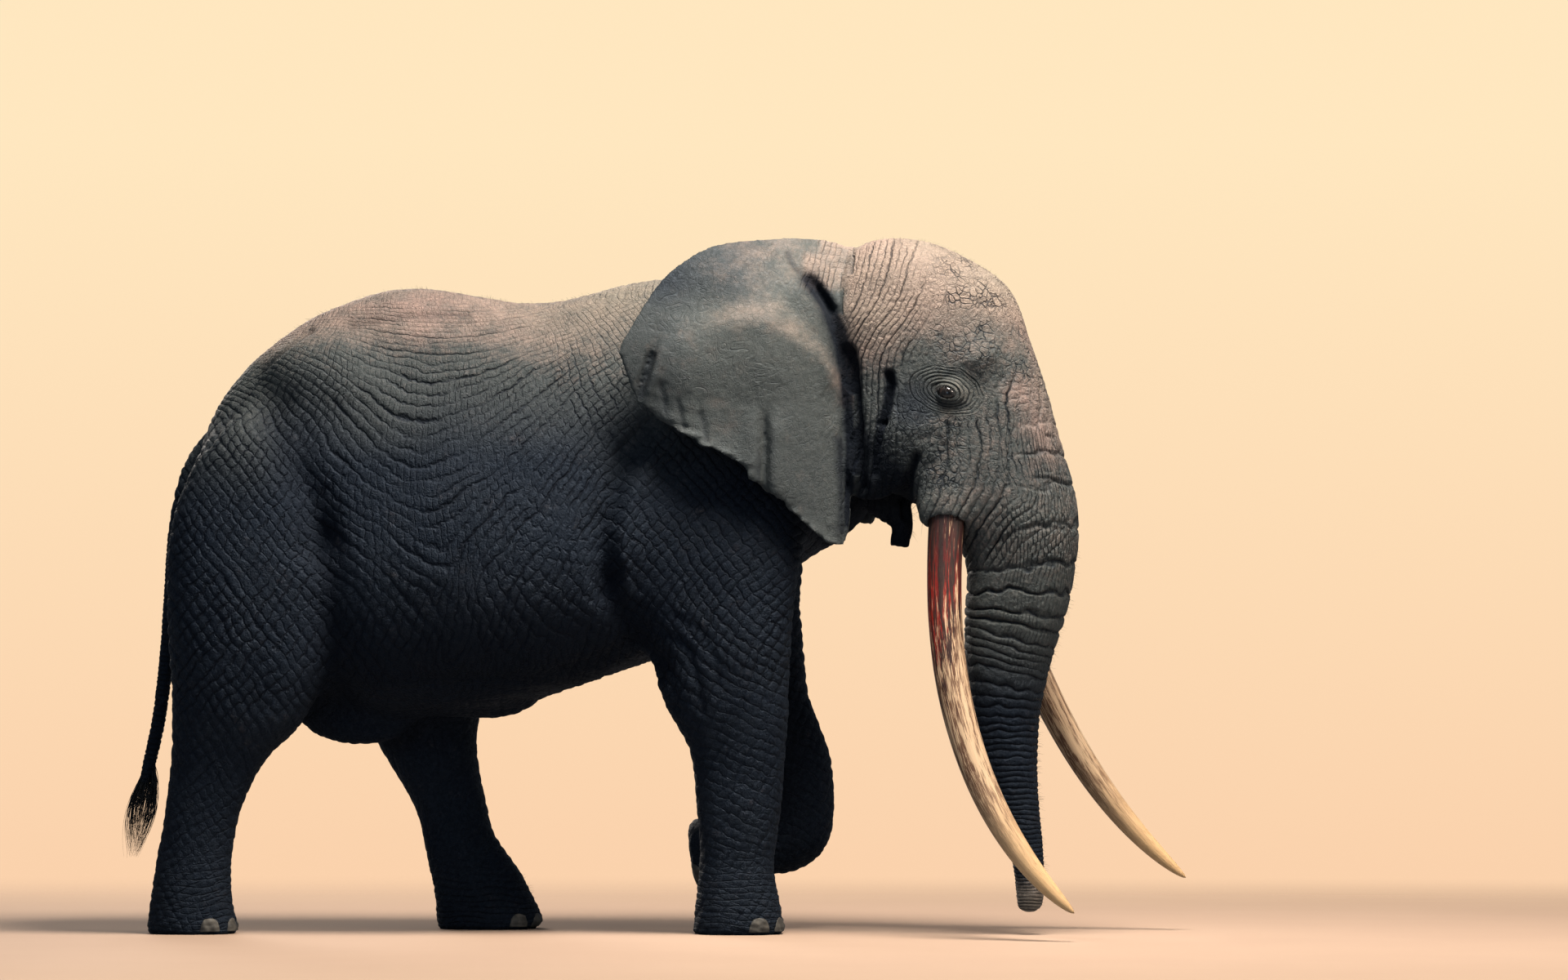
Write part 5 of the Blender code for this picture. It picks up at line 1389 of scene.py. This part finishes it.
def bristles(tree, material):
    """Sparse stiff hairs of the lashes, lips, chin, trunk, crown and back."""
    roots, ends, bows, widths = [], [], [], []

    def plant(start, way, length, fall, width, lean=(0, 0, 0)):
        place, normal = landing(tree, start, way)
        if place is None:
            return
        grow = normal + np.asarray(lean) + RANDOM.normal(0, 0.22, 3)
        grow /= np.linalg.norm(grow)
        tip = place + grow * length + (0, 0, -fall * length)
        roots.append(place - normal * 0.002)
        ends.append(tip)
        bows.append(np.array((0, 0, 0.18 * fall * length)))
        widths.append(width)

    for side in (RIGHT, LEFT):
        for step in np.linspace(0, 1, 44):
            turn = math.radians(20 + 145 * step)
            a, b = 0.052 * math.cos(turn), 0.038 * math.sin(turn)
            c, s = math.cos(EYE_SLANT), math.sin(EYE_SLANT)
            u, v = c * a - s * b, s * a + c * b
            root = EYE_PLACE + (u, 0.040 + 0.010 * RANDOM.random(), v)
            long = RANDOM.uniform(0.040, 0.060)
            tip = root + np.array((0.10 * u + RANDOM.normal(0, 0.004), 0.5 * long, -0.88 * long))
            pair = np.array((root, tip)) * (1, side, 1)
            pair = from_head(pair)
            roots.append(pair[0])
            ends.append(pair[1])
            bows.append(from_head(np.array(((0, 0.010 * side, 0.004),)))[0] - from_head(np.zeros((1, 3)))[0])
            widths.append(RANDOM.uniform(0.0012, 0.0018))
        for _ in range(90):
            hx, hz = RANDOM.uniform(1.96, 2.30), RANDOM.uniform(1.93, 2.16)
            start = from_head(np.array(((hx, 0.9 * side, hz),)))[0]
            way = from_head(np.array(((hx, 0.0, hz),)))[0] - start
            plant(start, way, RANDOM.uniform(0.02, 0.045), 0.7, 0.0011)
        for _ in range(150):
            hz = RANDOM.uniform(0.15, 1.9)
            start = from_head(np.array(((3.4, RANDOM.uniform(-0.12, 0.12), hz),)))[0]
            way = from_head(np.array(((0.0, 0.0, hz),)))[0] - start
            plant(start, way, RANDOM.uniform(0.015, 0.035), 0.2, 0.0010)
        for _ in range(90):
            hx = RANDOM.uniform(1.75, 2.45)
            start = from_head(np.array(((hx, RANDOM.uniform(-0.25, 0.25), 4.2),)))[0]
            plant(start, (0, 0, -1), RANDOM.uniform(0.010, 0.024), 0.3, 0.0008)
    for _ in range(240):
        x = RANDOM.uniform(-1.25, 0.35)
        start = (x, RANDOM.uniform(-0.2, 0.2), 4.2)
        plant(start, (0, 0, -1), RANDOM.uniform(0.012, 0.03), 0.2, 0.0010, (-0.5, 0, 0))
    shapes = [np.array(values) for values in (roots, ends, bows, widths)]
    strands("bristles", tree, *shapes, material, sides=4, rows=5)


# ---------------------------------------------------------------- toenails
NAIL_ROWS, NAIL_COLUMNS = 13, 15
# Sole centre, direction up the leg, direction of the toes, angles of the nails, half width, height
NAILS = {
    "forefoot_right": ((1.115, -0.262, 0.0), (0, 0, 1), (1, 0.02, 0), (-64, -22, 20, 62), 0.056, 0.072),
    "forefoot_left": ((0.828, 0.320, 0.366), (1, 0, 0), (0, 0, -1), (-60, -21, 21, 60), 0.052, 0.070),
    "hindfoot_right": ((-1.600, -0.300, 0.0), (0, 0, 1), (1, -0.05, 0), (-54, -15, 26, 64), 0.050, 0.068),
    "hindfoot_left": ((-0.130, 0.290, 0.0), (0, 0, 1), (1, 0.05, 0), (-58, -20, 18, 56), 0.050, 0.068),
}


def nails(name, tree, material):
    """The nails of one foot: domed plates on the skin above the sole's front edge."""
    centre, up, ahead, angles, half, height = NAILS[name]
    centre, up, ahead = np.array(centre, float), np.array(up, float), np.array(ahead, float)
    ahead /= np.linalg.norm(ahead)
    beside = np.cross(up, ahead)
    points, faces = [], []
    for angle in angles:
        plate = np.full((NAIL_ROWS, NAIL_COLUMNS, 3), np.nan)
        sunk = plate.copy()
        for i, p in enumerate(np.linspace(0, 1, NAIL_ROWS)):
            for j, q in enumerate(np.linspace(-1, 1, NAIL_COLUMNS)):
                turn = math.radians(angle)
                width = half * (1 - 0.30 * p**2)
                out = ahead * math.cos(turn) + beside * math.sin(turn)
                along_arc = np.cross(up, out) * q * width
                level = 0.014 + height * p * (1 - 0.18 * q * q)
                start = centre + up * level + out * 0.34 + along_arc
                place, _ = landing(tree, start, -out)
                if place is None or np.linalg.norm(place - start) > 0.30:
                    continue
                rise = 0.011 * math.sqrt(max(1 - q**4, 0)) * (1 - p**4) ** 0.5 * (1 - 0.25 * p) - 0.0015
                plate[i, j] = place + out * rise
                sunk[i, j] = place - out * 0.010
        if np.isnan(plate).any():
            print("nail without skin", name, angle)
            continue
        base = len(points)
        points.extend(plate.reshape(-1, 3))
        points.extend(sunk.reshape(-1, 3))
        faces.append(shell_faces(NAIL_ROWS, NAIL_COLUMNS) + base)
    mesh = mesh_from(name + "_nails", np.array(points) + SHIFT, np.concatenate(faces))
    mended(mesh)
    made = add_mesh(name + "_nails", mesh, material)
    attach(made, "root")


# ---------------------------------------------------------------- studio
def studio():
    scene = bpy.context.scene
    world = bpy.data.worlds.new("studio")
    world.use_nodes = True
    scene.world = world
    tree = world.node_tree
    background = tree.nodes["Background"]
    background.inputs["Color"].default_value = (0.74, 0.86, 1.0, 1.0)
    background.inputs["Strength"].default_value = 0.15
    seen = tree.nodes.new("ShaderNodeBackground")
    upward = tree.nodes.new("ShaderNodeTexCoord")
    split = tree.nodes.new("ShaderNodeSeparateXYZ")
    tree.links.new(upward.outputs["Generated"], split.inputs[0])
    height = tree.nodes.new("ShaderNodeMapRange")
    height.inputs["From Min"].default_value, height.inputs["From Max"].default_value = -0.03, 0.12
    tree.links.new(split.outputs[2], height.inputs[0])
    tint = tree.nodes.new("ShaderNodeMix")
    tint.data_type = "RGBA"
    tint.inputs[6].default_value = (0.96, 0.645, 0.415, 1.0)
    tint.inputs[7].default_value = (1.0, 0.80, 0.525, 1.0)
    tree.links.new(height.outputs[0], tint.inputs[0])
    tree.links.new(tint.outputs[2], seen.inputs["Color"])
    path = tree.nodes.new("ShaderNodeLightPath")
    both = tree.nodes.new("ShaderNodeMixShader")
    tree.links.new(path.outputs["Is Camera Ray"], both.inputs[0])
    tree.links.new(background.outputs[0], both.inputs[1])
    tree.links.new(seen.outputs[0], both.inputs[2])
    tree.links.new(both.outputs[0], tree.nodes["World Output"].inputs[0])

    for name, place, size, watts, colour in (
        ("top light", (2.0, -2.4, 9.0), 3.5, 1500, (1.0, 0.92, 0.82)),
        ("front light", (10.0, -4.5, 7.0), 3.5, 420, (1.0, 0.86, 0.72)),
        ("near light", (-3.0, -12.0, 5.0), 6.0, 120, (0.60, 0.80, 1.0)),
        ("far light", (-5.0, 11.0, 6.5), 5.0, 650, (1.0, 0.90, 0.80)),
    ):
        light = bpy.data.lights.new(name, "AREA")
        light.shape, light.size, light.energy, light.color = "DISK", size, watts, colour
        lamp = bpy.data.objects.new(name, light)
        scene.collection.objects.link(lamp)
        lamp.location = Vector(place)
        lamp.rotation_euler = (Vector((0, 0, 1.6)) - lamp.location).to_track_quat("-Z", "Y").to_euler()

    xs = np.linspace(-FLOOR_REACH, FLOOR_REACH, FLOOR_POINTS)
    points = [(x, y, 0.0) for x in xs for y in xs]
    n = Nodes("studio_floor")
    squeezed = n.vector("MULTIPLY", n.coordinates, (0.45, 1.0, 1.0))
    away = n.tree.nodes.new("ShaderNodeVectorMath")
    away.operation = "LENGTH"
    n.link(squeezed, away.inputs[0])
    near = n.remap(away.outputs["Value"], 1.6, 9.0, 1.0, 0.0)
    shown = n.mix(n.remap(n.noise(0.6, 4.0), 0.3, 0.7), (0.485, 0.332, 0.240), (0.505, 0.348, 0.252))
    path = n.tree.nodes.new("ShaderNodeLightPath")
    tint = n.mix(path.outputs["Is Camera Ray"], (0.16, 0.15, 0.15), shown)
    n.bump(n.noise(60.0, 3.0), 0.002, 0.4)
    look = n.set(Base_Color=tint, Roughness=0.9, Alpha=near)
    mesh = mesh_from("studio_floor", points, grid_faces(FLOOR_POINTS, FLOOR_POINTS))
    floor = add_mesh("studio_floor", mesh, look)

    camera = bpy.data.cameras.new("camera")
    camera.lens, camera.sensor_width = CAMERA_LENS, 36.0
    camera.clip_end = 200.0
    eye_point = bpy.data.objects.new("camera", camera)
    scene.collection.objects.link(eye_point)
    eye_point.location = Vector(CAMERA_PLACE) + Vector(SHIFT)
    level = math.cos(CAMERA_TILT)
    way = Vector((-math.sin(CAMERA_YAW) * level, math.cos(CAMERA_YAW) * level, math.sin(CAMERA_TILT)))
    eye_point.rotation_euler = way.to_track_quat("-Z", "Y").to_euler()
    scene.camera = eye_point
    scene.view_settings.view_transform = "Standard"


# ---------------------------------------------------------------- the whole animal
skin_look, ivory_look, eye_look = skin_material(), ivory_material(), eye_material()
horn_look, hair_look = horn_material(), hair_material()
skin = build_skin(skin_look)
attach(skin, "root")
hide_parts(*FLESH, *LIMB_ENDS, "ear_right", "ear_left")
for tusk_name in TUSKS:
    tusk(tusk_name, ivory_look)
for eye_name, eye_side in (("eye_right", RIGHT), ("eye_left", LEFT)):
    eye(eye_name, eye_side, eye_look)
skin_tree = surface_tree(skin)
tail_tuft(skin_tree, hair_look)
bristles(skin_tree, hair_look)
for foot in NAILS:
    nails(foot, skin_tree, horn_look)
studio()
